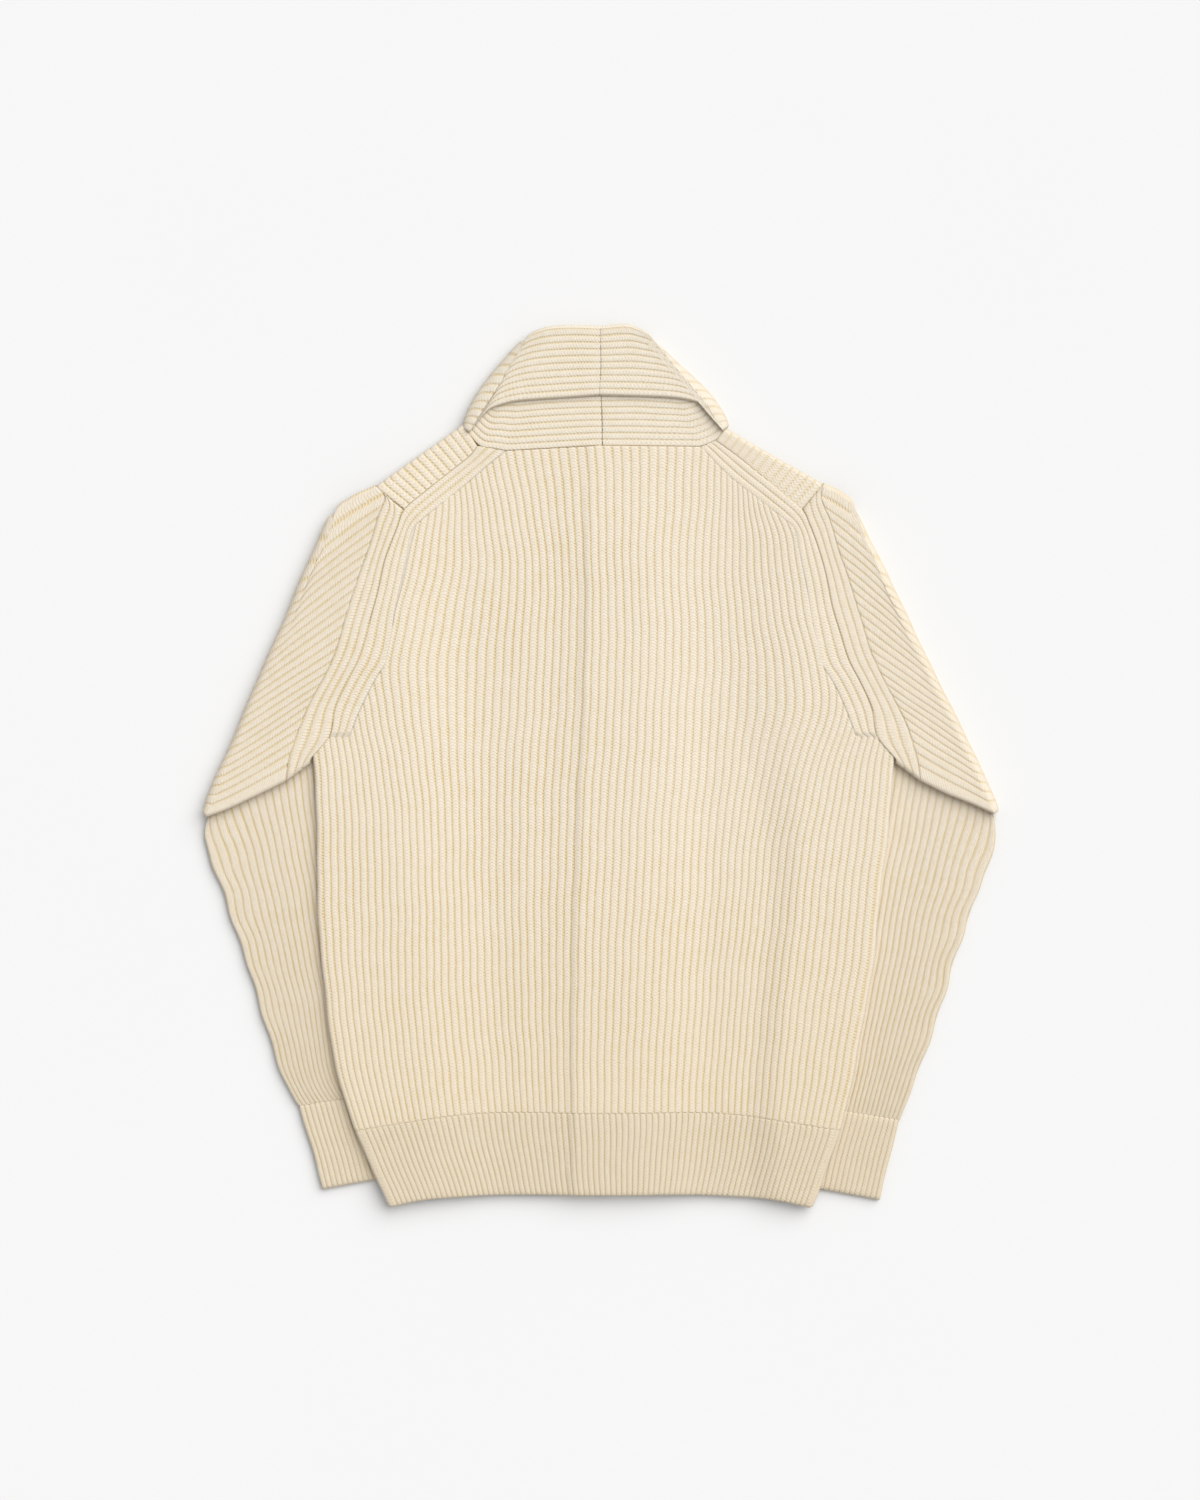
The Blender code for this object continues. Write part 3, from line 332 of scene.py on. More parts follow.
class Net:
    """Points of a piece: place in its pattern, height in the wall, and how the knit runs there."""

    def __init__(self):
        self.points = []
        self.faces = []
        self.knit = []

    def line(self, places, heights, cross=None, run=0.0):
        """Adds points. Knit is 0 on a crest to 1 in a groove, how far along, 1 where ribbed."""
        first, count = len(self.points), len(places)
        heights = np.broadcast_to(heights, (count,))
        self.points += [(float(p[0]), float(p[1]), float(h)) for p, h in zip(places, heights)]
        if cross is None:
            self.knit += [(0.0, 0.0, 0.0)] * count
        else:
            cross, run = np.broadcast_to(cross, (count,)), np.broadcast_to(run, (count,))
            self.knit += [(float(c), float(r), 1.0) for c, r in zip(cross, run)]
        return list(range(first, first + count))

    def join(self, a, b, key_a, key_b):
        """Triangles between two chains, moving on along whichever has the lower next key."""
        i = j = 0
        while i + 1 < len(a) or j + 1 < len(b):
            ahead_a = key_a[i] + key_a[i + 1] if i + 1 < len(a) else math.inf
            ahead_b = key_b[j] + key_b[j + 1] if j + 1 < len(b) else math.inf
            if ahead_a <= ahead_b:
                self.face(a[i], a[i + 1], b[j])
                i += 1
            else:
                self.face(a[i], b[j + 1], b[j])
                j += 1

    def match(self, a, b, ring=False):
        """Joins two chains of as many points one to one, or two rings."""
        if ring:
            a, b = a + a[:1], b + b[:1]
        self.join(a, b, range(len(a)), range(len(b)))

    def face(self, *corners):
        if len(set(corners)) == 3:
            self.faces.append(corners)

    def border(self):
        """The single loop of points round the triangles made so far."""
        once = {}
        for a, b, c in self.faces:
            for edge in ((a, b), (b, c), (c, a)):
                key = frozenset(edge)
                once[key] = None if key in once else edge
        near = {}
        for edge in filter(None, once.values()):
            for i, j in (edge, edge[::-1]):
                near.setdefault(i, []).append(j)
        loop = [min(near)]
        loop.append(near[loop[0]][0])
        while loop[-1] != loop[0]:
            a, b = near[loop[-1]]
            loop.append(b if a == loop[-2] else a)
        return loop[:-1]

    def below(self, chain, height):
        """A copy of a chain at another height in the wall."""
        return self.line([self.points[i] for i in chain], height)

    def fill(self, loop, height, creases=(), spots=(), section=None):
        """Fills a loop with triangles, keeping creases: chains of its points and new places."""
        places = [Vector(p) for p in section or (self.points[i][:2] for i in loop)]
        index, edges = {p: k for k, p in enumerate(loop)}, []
        made = list(loop)
        for crease in creases:
            chain = []
            for item in crease:
                if isinstance(item, int):
                    chain.append(index[item])
                else:
                    chain.append(len(places))
                    places.append(Vector(item))
                    made += self.line([item], height)
            edges += list(zip(chain, chain[1:]))
        for spot in spots:
            places.append(Vector(spot))
            made += self.line([spot], height)
        found = delaunay_2d_cdt(places, edges, [list(range(len(loop)))], 1, 1e-5)
        back = [made[source[0]] for source in found[3]]
        for triangle in found[2]:
            self.face(*(back[i] for i in triangle))

    def close_below(self, lines, spots):
        """The plain inner face of a panel, creased under the lines of its rolled side edges."""
        loop = self.border()
        under = self.below(loop, 0.0)
        self.match(loop, under, ring=True)
        matching = dict(zip(loop, under))
        creases = []
        for line in lines[1 : len(ROLL_LINES)] + lines[-len(ROLL_LINES) : -1]:
            inner = [self.points[i][:2] for i in line[1:-1]]
            creases.append([matching[line[0]], *inner, matching[line[-1]]])
        self.fill(under, 0.0, creases, spots)


def wavy(points):
    """Slight unevenness of hand-laid cloth, the same for all pieces, so seams stay closed."""
    x, y, z = points[:, 0], points[:, 1], points[:, 2]
    lift = np.sin(x / 47 + y / 83) * np.sin(y / 61 - x / 140 + 1.3)
    lift += 0.5 * np.sin(x / 21 + 2.0) * np.sin(y / 34)
    side = 0.4 * np.sin(y / 19 + x / 55) + 0.27 * np.sin(y / 8.3 - x / 31)
    below = -(y + SCALLOP_TOP)
    scallop = np.clip((np.abs(x) + SCALLOP_LEAN * below - 322) / 30, 0, 1) ** 2
    scallop *= np.clip(below / 40, 0, 1)
    side += SCALLOP * np.sin(y / 6.5 + y * y / 20000) * scallop
    side *= np.clip(z / 6, 0, 1)
    lift *= LIFT * np.clip(z / 12, 0, 1)
    return points + np.column_stack([side, 0 * y, lift])


def build(name, net, place, knit):
    """Makes a piece from a net, moves each point to its place, and gives it the wool of its slot.
    """
    plain = np.array(net.points)
    points = (wavy(place(plain[:, 0], plain[:, 1], plain[:, 2])) - ORIGIN) * MM
    mesh = bpy.data.meshes.new(name)
    mesh.from_pydata(points.tolist(), [], [list(f) for f in net.faces])
    layer = mesh.attributes.new("knit", "FLOAT_VECTOR", "POINT")
    layer.data.foreach_set("vector", np.array(net.knit, np.float32).ravel())
    shape = bmesh.new()
    shape.from_mesh(mesh)
    loose = [v for v in shape.verts if not v.link_faces]
    bmesh.ops.delete(shape, geom=loose, context="VERTS")
    bmesh.ops.recalc_face_normals(shape, faces=shape.faces)
    shape.to_mesh(mesh)
    shape.free()
    mesh.shade_smooth()
    mesh.set_sharp_from_angle(angle=math.radians(75))
    made = bpy.data.objects.new(name + "_knit", mesh)
    bpy.context.scene.collection.objects.link(made)
    slot, flat, area, held = SHEETS[name.replace("_left", "").replace("_right", "")]
    mesh.materials.append(knit[slot])
    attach(made, "root")
    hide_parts(name)


# ---- heights


def inner_edge(y):
    """How far out the inner edge of the folded lower sleeve lies."""
    out, heights = np.transpose(INNER_EDGE[::-1])
    return curve(np.clip(y, heights[0], heights[-1]), heights, out)


def over_sleeve(out, y, rise, more=0):
    """0 beside the folded sleeve and 1 over it."""
    edge, chest = inner_edge(y), ease(*CHEST, y)
    (start, start_chest), (end, end_chest) = rise
    return ease(edge - start - start_chest * chest - more, edge - end - end_chest * chest, out)


def back_height(x, y):
    """Underside of the back panel."""
    x, y = np.broadcast_arrays(np.asarray(x, float), np.asarray(y, float))
    out = np.abs(x)
    low = BACK_LOW + BANDS_UNDER * (1 - ease(*BANDS_END, out))
    low = low + (BACK_NECK - low) * ease(*NECK_RISE, y)
    high = BACK_HIGH[0] + (BACK_HIGH[1] - BACK_HIGH[0]) * ease(*ARMHOLE_RISE, y)
    rise = over_sleeve(out, y, BACK_RISE, np.where(x < 0, LEFT_RISE * (1 - ease(*CHEST, y)), 0))
    middle = CREASE_MIDDLE[0] + (CREASE_MIDDLE[1] - CREASE_MIDDLE[0]) * ease(270, -322, y)
    crease = sum(share * ease(middle + a, middle + b, x) for share, a, b in CREASE_SLOPES)
    crease = crease * (1 - ease(*CREASE_FALL, x)) * (1 - 0.6 * ease(160, 290, y))
    return low + rise * (high - low) + CREASE_STEP * crease


def front_height(out, y):
    """Underside of a front: on the floor in the middle, over the folded sleeve at the side."""
    low = FRONT_NECK * np.maximum(ease(*FRONT_NECK_RISE, y), 1 - ease(*FRONT_BANDS_END, out))
    return low + over_sleeve(out, y, FRONT_RISE) * (FRONT_HIGH - low)


# ---- back panel


def rib_x(k, y):
    """Where groove number k of the back lies at height y."""
    table = np.array(GUIDES, float)
    column = curve(k, GUIDE_RIBS, table[:, 1:].T)
    return curve(y, table[:, 0], column)


def side_x(side, y):
    """Start of the rolled side edge."""
    return side * (side * rib_x(0 if side < 0 else RIB_COUNT, y) - SIDE_INSET)


def place_back(x, y, h):
    """Lays points of the back or its hem over the layers below, rolled down at the sides."""
    x, y, h = x.copy(), y.copy(), h.copy()
    z = back_height(x, y)
    for side in (-1, 1):
        start = side_x(side, y)
        past = side * (x - start)
        turned = past > 1e-6
        angle = np.clip(past / SIDE_R, 0, math.pi / 2)
        drop = np.maximum(past - SIDE_R * math.pi / 2, 0)
        new_x = start + side * (SIDE_R + h) * np.sin(angle)
        new_z = back_height(start, y) - SIDE_R + (SIDE_R + h) * np.cos(angle) - drop
        x = np.where(turned, new_x, x)
        z = np.where(turned, new_z - h, z)
    return np.stack([x, y, z + h], axis=1)


def armhole_rows(side, columns):
    """Two columns of the armhole table, as out and y."""
    p = np.array(ARMHOLE, float)[:, columns]
    p[:, 0] += SHOULDER_SHIFT * side
    p[-1] = np.array(NECK_END[side])[columns]
    return p


def seam_rows(side, inset):
    """The armhole and shoulder seam from the armpit to the neck, moved into the back panel."""
    start = (ARMPIT[0] + SHOULDER_SHIFT * side, ARMPIT[1])
    p = np.vstack([start, armhole_rows(side, slice(0, 2))])
    d = np.gradient(p, axis=0)
    n = np.stack([-d[:, 1], d[:, 0]], axis=1) / np.linalg.norm(d, axis=1)[:, None]
    n *= np.sign(-n[:, :1])
    return p + n * inset


def band_rows(side):
    """The line where the ribs of the panel end at the armhole band."""
    return armhole_rows(side, slice(2, 4))


def finer(points, step):
    """Places on a smooth line about a step apart, with the given ones, and their row numbers."""
    rows = []
    for i in range(len(points) - 1):
        n = max(1, round(float(np.linalg.norm(points[i + 1] - points[i])) / step))
        rows += [i + k / n for k in range(n)]
    rows = np.array(rows + [len(points) - 1.0])
    return curve(rows, range(len(points)), points), rows


def seam_curve(side, inset, rows):
    """The armhole and shoulder seam as a smooth line, at rows of its table."""
    return curve(rows, range(len(ARMHOLE) + 1), seam_rows(side, inset))


ROLL_LINES = (
    # lines of a rolled side edge: distance past its start, share of the rise, knit across
    (SIDE_REACH, 0.3, 0.9),
    (2.2, 0.7, 0.5),
    (SIDE_R * math.pi / 2, 0.9, 0.3),
    (0.71, 1.0, 0.1),
    (0.47, 1.0, 0.1),
    (0.235, 0.9, 0.3),
    (0.0, 0.5, 0.7),
)
SEAM_DIP = 0.1  # height of a rib's end where it meets a seam
SEAM_EASE = 2.5  # a rib goes down to its end over this length
BAND_LINES = (BAND_LAST - BAND_FIRST) * LINES_PER_RIB  # lines across an armhole band

# Where to look for the ends of the lines of back and hem, as heights
TOP_WITHIN = (-20, 310)
JOIN_WITHIN = (-370, -300)
EDGE_WITHIN = (-430, -370)
PANEL_ROWS = (-300, 290)  # first and last height of the rows across back and fronts
END_ROWS = (1.2, 2.8)  # more rows lie this close to the ends of a line
INSIDE_STEP = 24  # the plain inner face of the back has points this far apart
INSIDE_CLEAR = 12  # and none nearer than this to its edge


def dip(away, length=SEAM_EASE, low=SEAM_DIP):
    """1 over the body of a rib, easing down to low at its end."""
    return low + (1 - low) * np.sqrt(np.clip(1 - (1 - np.clip(away / length, 0, 1)) ** 2, 0, 1))


def rolled_edge(side, one_line):
    """The lines of a rolled side edge, each to the right of the one before."""
    order = ROLL_LINES if side < 0 else ROLL_LINES[::-1]
    return [one_line(lambda y, p=past: side_x(side, y) + side * p, *knit) for past, *knit in order]


def back_panel():
    net = Net()
    rows = steps(*PANEL_ROWS, ROW_STEP)
    bands = {side: band_rows(side) for side in (-1, 1)}

    # The line where the ribs of the panel end, from one armpit over the neck to the other
    cap = []
    for side in (-1, 1):
        places = [*seam_rows(side, SEAM)[:2], *finer(bands[side], 2)[0]]
        half = [(side * out, y) for out, y in places]
        cap += half + [(NECK_MIDDLE[0], NECK_MIDDLE[1] - SEAM)] if side < 0 else half[::-1]
    cap = np.array(cap)

    def cap_y(x):
        return float(np.interp(x, cap[:, 0], cap[:, 1]))

    def one_line(x_of, rise, cross, low_top=False):
        low = solve(*JOIN_WITHIN, lambda y: y < hem_y(x_of(y), 1) + SEAM)
        high = solve(*TOP_WITHIN, lambda y: y < cap_y(x_of(y)))
        inner = [y for y in rows if low + ROW_STEP * 0.7 < y < high - ROW_STEP * 0.7]
        ends = [high - row for row in END_ROWS[::-1]]
        ys = np.array([low, *(low + row for row in END_ROWS), *inner, *ends, high])
        heights = WALL + RISE * rise * dip(ys - low)
        if low_top:
            heights = WALL + (heights - WALL) * dip(high - ys, SEAM_EASE, 0.25)
        return net.line(np.column_stack([x_of(ys), ys]), heights, cross, ys), ys

    lines, tops = rolled_edge(-1, one_line), {}
    for line in range(LINES_PER_RIB, (RIB_COUNT - 1) * LINES_PER_RIB + 1):
        k = line / LINES_PER_RIB
        low_top = BAND_LAST <= k <= RIB_COUNT - BAND_LAST
        lines.append(one_line(lambda y, k=k: rib_x(k, y), rib_profile(k), across_rib(k), low_top))
        tops[line] = lines[-1][0][-1]
    lines += rolled_edge(1, one_line)
    for (a, ya), (b, yb) in zip(lines, lines[1:]):
        net.join(a, b, ya, yb)

    # The three-rib band along each armhole and shoulder
    middle = RIB_COUNT * LINES_PER_RIB // 2
    for side, band in bands.items():
        first = (BAND_LAST if side < 0 else RIB_COUNT - BAND_LAST) * LINES_PER_RIB
        dense, dense_rows = finer(band, 3)
        chain = [tops[k] for k in range(first, middle, -side)]
        chain = [i for i in chain if side * net.points[i][0] > dense[-1][0] - 0.5]
        key = np.interp([-side * net.points[i][0] for i in chain], -dense[:, 0], dense_rows)
        key[0] = 0
        previous = (chain, key)
        inner, stations = finer(band, 5)
        outer = seam_curve(side, SEAM, stations + 1)
        for j in range(1, BAND_LINES + 1):
            places = (inner + (outer - inner) * (j / BAND_LINES))[1:] * (side, 1)
            heights = np.full(len(places), WALL)
            heights[:-1] += RISE * (rib_profile(j / LINES_PER_RIB) if j < BAND_LINES else SEAM_DIP)
            line = net.line(places, heights, across_rib(j / LINES_PER_RIB), reach(inner)[1:])
            line = [tops[first + side * j], *line]
            net.join(previous[0], line, previous[1], stations)
            previous = (line, stations)

    spots = [
        (float(rib_x(k, y)), y)
        for k in range(4, RIB_COUNT - 3, 2)
        for y in steps(-300, 270, INSIDE_STEP)
        if hem_y(rib_x(k, y), 1) + INSIDE_CLEAR < y < cap_y(rib_x(k, y)) - INSIDE_CLEAR
    ]
    net.close_below([line for line, _ in lines], spots)
    return net


# ---- hem bands


def hem_y(x, column):
    """Height of the join (column 1) or of the edge (column 2) of the hem band."""
    share = (x - HEM_JOIN_X[0]) / (HEM_JOIN_X[1] - HEM_JOIN_X[0])
    return float(curve(share, [r[0] for r in HEM], [r[column] for r in HEM]))


def hem_band():
    net = Net()
    shares = np.array([0, 0.012, 0.03, 0.055, *np.linspace(0.12, 0.9, 9), 0.965, 0.985, 1.0])

    def one_line(x_of, rise, cross):
        high = solve(*JOIN_WITHIN, lambda y: y < hem_y(x_of(y), 1) - SEAM)
        low = solve(*EDGE_WITHIN, lambda y: y < hem_y(x_of(y) * HEM_JOIN_X[1] / HEM_EDGE_X[1], 2))
        ys = low + (high - low) * shares
        rim = dip(ys - low, RIM_ROUND, 0.3)
        heights = WALL * rim + RISE * rise * rim * dip(high - ys)
        return net.line(np.column_stack([x_of(ys), ys]), heights, cross, ys)

    def rib(share):
        return lambda y: rib_x(0, y) + share * (rib_x(RIB_COUNT, y) - rib_x(0, y))

    lines = rolled_edge(-1, one_line)
    for j in np.arange(LINES_PER_RIB + 1, (HEM_RIBS - 1) * LINES_PER_RIB) / LINES_PER_RIB:
        lines.append(one_line(rib(j / HEM_RIBS), rib_profile(j), across_rib(j)))
    lines += rolled_edge(1, one_line)
    for a, b in zip(lines, lines[1:]):
        net.match(a, b)
    inside = [(s, y) for s in np.linspace(0.06, 0.94, 40) for y in (-390, -375, -360, -345)]
    spots = [(float(rib(s)(y)), y) for s, y in inside]
    spots = [p for p in spots if hem_y(p[0], 2) + 8 < p[1] < hem_y(p[0], 1) - 8]
    net.close_below(lines, spots)
    return net


def front_hem(side):
    """A plain band: its outline, copied to both faces."""
    net = Net()
    outs = [COLLAR_UNDER[side][-1][0][0] + 2 * SEAM, *np.linspace(76, 195, 18)]
    join = [(out, hem_y(side * out, 1) - SEAM) for out in outs]
    edge = [(out, hem_y(side * out * 1.14, 2) + FRONT_HEM_SHORT) for out in outs]
    for chain, out, column, trim in ((join, 225, 1, -SEAM), (edge, 215, 2, FRONT_HEM_SHORT)):
        y = hem_y(side * out, column) + trim
        chain.append((side * float(side_x(side, y)), y))
    sheets = []
    for height in (0.0, WALL):
        a, b = net.line(edge, height), net.line(join, height)
        net.match(a, b)
        sheets.append(a + b[::-1])
    net.match(*sheets, ring=True)
    return net


# ---- fronts


def place_front(side, out, y, z):
    """Places of points given as out, y and z."""
    return np.stack([side * out, y, z], axis=1)


def place_hem(side, out, y, h):
    """Places of points given as out, y and height in the wall of a front."""
    return place_front(side, out, y, front_height(out, y) + h)


def along(points, shares):
    """Places on a bent line at shares of its length."""
    p = np.asarray(points, float)
    at = np.asarray(shares, float) * reach(p)[-1]
    return np.stack([np.interp(at, reach(p), p[:, 0]), np.interp(at, reach(p), p[:, 1])], axis=1)


def smooth_along(points, share):
    """Places on a smooth curve through points, at a share or shares of its length."""
    p = np.asarray(points, float)
    return curve(np.asarray(share, float) * reach(p)[-1], reach(p), p)


STRIP_TURNS = (
    # share of the way from the fold to the seam, turn of the fold in degrees
    *((out, 180) for out in (1.0, 0.93, 0.75, 0.5, 0.25)),
    *((0, turn) for turn in range(180, -1, -15)),
)


# Points of a front: lines this far inside the sleeve's edge, and single points further in
FRONT_LINES = (88, 70, 50, 30, 12)
FRONT_SPOTS = (90, 115)
FRONT_LOW, FRONT_STEP = -290, 29


def strip_rows(side, count, ribbed, height):
    """Rows of the shoulder strip from its seam round the fold to the front panel."""
    shares = np.linspace(0, 1, count)
    a, b = (np.array(p, float) for p in SHOULDER_EDGE[side])
    run = unit(b - a)
    inward = np.array([run[1], -run[0]])
    inset = STRIP_R + WALL + RIB
    a, b = a + run * STRIP_TRIM + inward * inset, b - run * STRIP_TRIM + inward * inset
    axis = a + (b - a) * shares[:, None]
    seam = seam_curve(side, -SEAM, np.linspace(SHOULDER_CORNER + 1, len(ARMHOLE), 25))[::-1]
    seam[0] += run * STRIP_TRIM * 0.6
    seam[-1] -= run * STRIP_TRIM * 0.6
    seam = along(seam, shares)
    base = front_height(axis[:, 0], axis[:, 1])
    cross = across_rib(shares * STRIP_RIBS)
    rise = RISE * rib_profile(shares * STRIP_RIBS) if ribbed else np.zeros(count)
    rise[[0, -1]] = 0
    rows = []
    for out, turn in STRIP_TURNS:
        angle = math.radians(turn)
        fade = float(ease(20, 60, turn) * (1 if out < 1 else 0.3))
        radius = STRIP_R + WALL - height + rise * fade
        place = axis + (seam - axis) * out - inward * (radius * math.sin(angle))[:, None]
        z = base + WALL + STRIP_R - radius * math.cos(angle)
        rows.append((place, z, cross, 20 * out - turn / 12))
    return rows


def front(side):
    net = Net()
    a, b = seam_rows(side, SEAM)[:2]
    armhole = seam_curve(side, SEAM, np.linspace(1, SHOULDER_CORNER + 1, 40))[::-1]
    line = (a[1], b[1]), (a[0], b[0])
    start_y = solve(5, 40, lambda y: side * side_x(side, y) < np.interp(y, *line))
    end_y = hem_y(side_x(side, HEM[0][1]), 1) + SEAM
    rows = [y for y in steps(*PANEL_ROWS, ROW_STEP)[::-1] if end_y + 20 < y < start_y - 12]
    sides = [(side * float(side_x(side, y)) - SEAM, y) for y in (start_y, *rows, end_y)]
    bottom = [(out, hem_y(side * out, 1) + SEAM) for out in (195, 165, 135, 110, 85)]
    inner = [(seam[0] + 2 * SEAM, seam[1]) for seam, _, _ in COLLAR_UNDER[side][-2::-1]]
    bottom.append((inner[0][0], hem_y(side * inner[0][0], 1) + SEAM))
    outline = [*(tuple(p) for p in armhole), *sides, *bottom, *inner]
    creases = []
    for before in FRONT_LINES:
        chain = range(FRONT_LOW, 120, FRONT_STEP)
        creases.append([(float(inner_edge(y)) - before, y) for y in chain])
    spots = [(out, y) for out in FRONT_SPOTS for y in range(FRONT_LOW, 240, FRONT_STEP)]
    skins, loops = [], []
    for height, count, ribbed in ((0.0, STRIP_RIBS * LINES_PER_RIB + 1, True), (WALL, 14, False)):
        made = strip_rows(side, count, ribbed, height)
        rows = [net.line(p, z, c, r) if ribbed else net.line(p, z) for p, z, c, r in made]
        for row, following in zip(rows, rows[1:]):
            net.match(row, following)
        edge = net.line(outline, [front_height(p[0], p[1]) + height for p in outline])
        first = len(net.points)
        net.fill(rows[-1] + edge, 0.0, creases, spots)
        for i in range(first, len(net.points)):
            out, y, _ = net.points[i]
            net.points[i] = (out, y, float(front_height(out, y)) + height)
        skins.append(rows)
        loops.append([rows[-1][-1], *edge, rows[-1][0]])
    outer, inside = skins
    net.join(outer[0], inside[0], *(np.linspace(0, 1, len(rows[0])) for rows in skins))
    for end in (0, -1):
        net.match([row[end] for row in outer], [row[end] for row in inside])
    net.match(*loops)
    return net


# ---- folded pieces


class Fold:
    """A straight fold that turns a piece under: it lays the two runs and the turn between them."""

    def __init__(self, first, last, radius, half, rounded=FOLD_ENDS, bow=0.0):
        a, b = np.array(first, float), np.array(last, float)
        self.rounded, self.bow, self.radius = rounded, bow, radius
        self.run = unit(b - a)
        self.inward = np.array([self.run[1], -self.run[0]])
        self.ends = tuple(p + self.inward * (radius + half + RIB) for p in (a, b))

    def lay(self, base, heights, turn):
        base, radius = np.asarray(base, float), self.radius + np.asarray(heights, float)
        angle = math.radians(turn)
        first, last = self.ends
        reach = np.ones(len(base))
        from_ends = (base - first) @ self.run, (last - base) @ self.run
        for (length, width), near in zip(self.rounded, from_ends):
            rounding = 1 - np.clip(near / length, 0, 1)
            reach = np.minimum(reach, width + (1 - width) * np.sqrt(1 - rounding**2))
        share = np.clip(from_ends[1] / np.linalg.norm(last - first), 0, 1)
        bulge = self.bow * BOW_PEAK * share * (1 - share) ** 2
        place = base - self.inward * (math.sin(angle) * (radius * reach + bulge))[:, None]
        return np.column_stack([place, FOLD_Z + radius * math.cos(angle)])


def turned_down(turn):
    """Ribs are stretched flat where a fold turns them, and plain where they face the floor."""
    return float((1 - ease(80, 150, turn)) * (1 - 0.68 * ease(0, 60, turn)))


def slanted(share, turn, by):
    """Moves shares of a fold down it as it turns, so that ribs cross it slantwise."""
    return share - by * (turn / 90) * 4 * share * (1 - share)


def patch(first, last, low, high, near=1, lean=None):
    """A surface between four lines: low and high are its sides, from first to last.

    The larger near is, the closer to its sides the surface follows them, and lean says where
    a share of the first line goes on the last one.
    """

    def at(shares, v):
        q = np.asarray(shares, float)[:, None]
        a, b = smooth_along(first, q[:, 0]), smooth_along(last, lean(q[:, 0]) if lean else q[:, 0])
        e, t = smooth_along(low, v), smooth_along(high, v)
        ends = [smooth_along(line, [s])[0] for line in (first, last) for s in (0, 1)]
        flat_e, flat_t = ends[0] * (1 - v) + ends[2] * v, ends[1] * (1 - v) + ends[3] * v
        return a * (1 - v) + b * v + (e - flat_e) * (1 - q) ** near + (t - flat_t) * q**near

    return at


class Skin:
    """How one face of a tube is knitted in a row: ribs along the tube, or across, or none."""

    def __init__(self, ribs=0, plain=0.0, level=1.0, band=None):
        self.ribs, self.plain, self.level, self.band = ribs, plain, level, band

    def shares(self):
        if self.band is not None:
            return np.linspace(0, 1, 90)
        if not self.ribs:
            return np.array(PLAIN_SHARES)
        strip = np.linspace(0, self.plain, SELVEDGE_LINES + 1)[:-1] if self.plain else []
        return np.concatenate([strip, np.linspace(self.plain, 1, self.ribs * LINES_PER_RIB + 1)])

    def rib_number(self, shares):
        return np.clip((shares - self.plain) / (1 - self.plain), 0, 1) * self.ribs

    def heights(self, shares, width):
        """Outer half heights, rounded down to the side edges."""
        if self.band is not None:
            rise = np.full(len(shares), float(rib_profile(self.band)))
        elif self.ribs:
            rise = rib_profile(self.rib_number(shares)) * self.level
        else:
            rise = np.zeros(len(shares))
        bulge = SELVEDGE_RISE * self.level * np.sin(np.pi * shares / max(self.plain, 1e-6))
        heights = TUBE_H + RISE * np.where(shares < self.plain, bulge, rise)
        near = np.minimum(shares, 1 - shares) * width
        rounded = np.sqrt(1 - (1 - np.clip(near / EDGE_ROUND, 0, 1)) ** 2)
        return TUBE_EDGE_H + (heights - TUBE_EDGE_H) * rounded

    def cross(self, shares):
        if self.band is not None:
            return np.full(len(shares), float(across_rib(self.band)))
        if not self.ribs:
            return None
        return np.where(shares < self.plain, SELVEDGE_CROSS, across_rib(self.rib_number(shares)))


def tube(net, fold, rows):
    """A flattened tube, in rows of base, turn, skins above and below, and share of thickness."""
    skins = []
    reference = np.linspace(0, 1, 9)
    for sign, hollow in ((1, False), (-1, False), (1, True), (-1, True)):
        chains = []
        run, last = np.zeros(len(reference)), None
        for base, turn, above, below, full in rows:
            ends = base(np.array([0.0, 1.0]))
            width = float(np.linalg.norm(ends[1] - ends[0]))
            here = fold.lay(base(reference), sign * np.full(len(reference), TUBE_H), turn)
            run = run if last is None else run + np.linalg.norm(here - last, axis=1)
            last = here
            if not hollow:
                skin = above if sign > 0 else below
                shares = skin.shares()
                heights = SLIT + (skin.heights(shares, width) - SLIT) * full
                cross = skin.cross(shares)
                across = skin.band is not None
                along_rib = shares * width if across else np.interp(shares, reference, run)
            else:
                inset = WALL / width
                inside = above.shares() if below.band is not None else np.array(PLAIN_SHARES)
                inside = inside[(inside > inset * 1.2) & (inside < 1 - inset * 1.2)]
                shares = np.array([inset, *inside, 1 - inset])
                heights = np.full(len(shares), SLIT)
                cross, along_rib = None, 0.0
            place = fold.lay(base(shares), sign * heights, turn)
            chains.append((net.line(place[:, :2], place[:, 2], cross, along_rib), shares))
        for (a, key_a), (b, key_b) in zip(chains, chains[1:]):
            net.join(a, b, key_a, key_b)
        skins.append(chains)
    above, below, inner_above, inner_below = skins
    for end in (0, -1):
        for a, b in ((above, below), (inner_above, inner_below)):
            net.match([c[0][end] for c in a], [c[0][end] for c in b])
        for a, b in ((above, inner_above), (below, inner_below)):
            net.join(a[end][0], b[end][0], a[end][1], b[end][1])
        for side in (0, -1):
            corners = [skin[end][0][side] for skin in skins]
            net.match(corners[:2], corners[2:])


# ---- sleeves and cuffs


def rib_lean(share):
    """Where on the fold a rib goes that starts at this share of the armhole."""
    return curve(share, *np.transpose(RIB_LEAN))


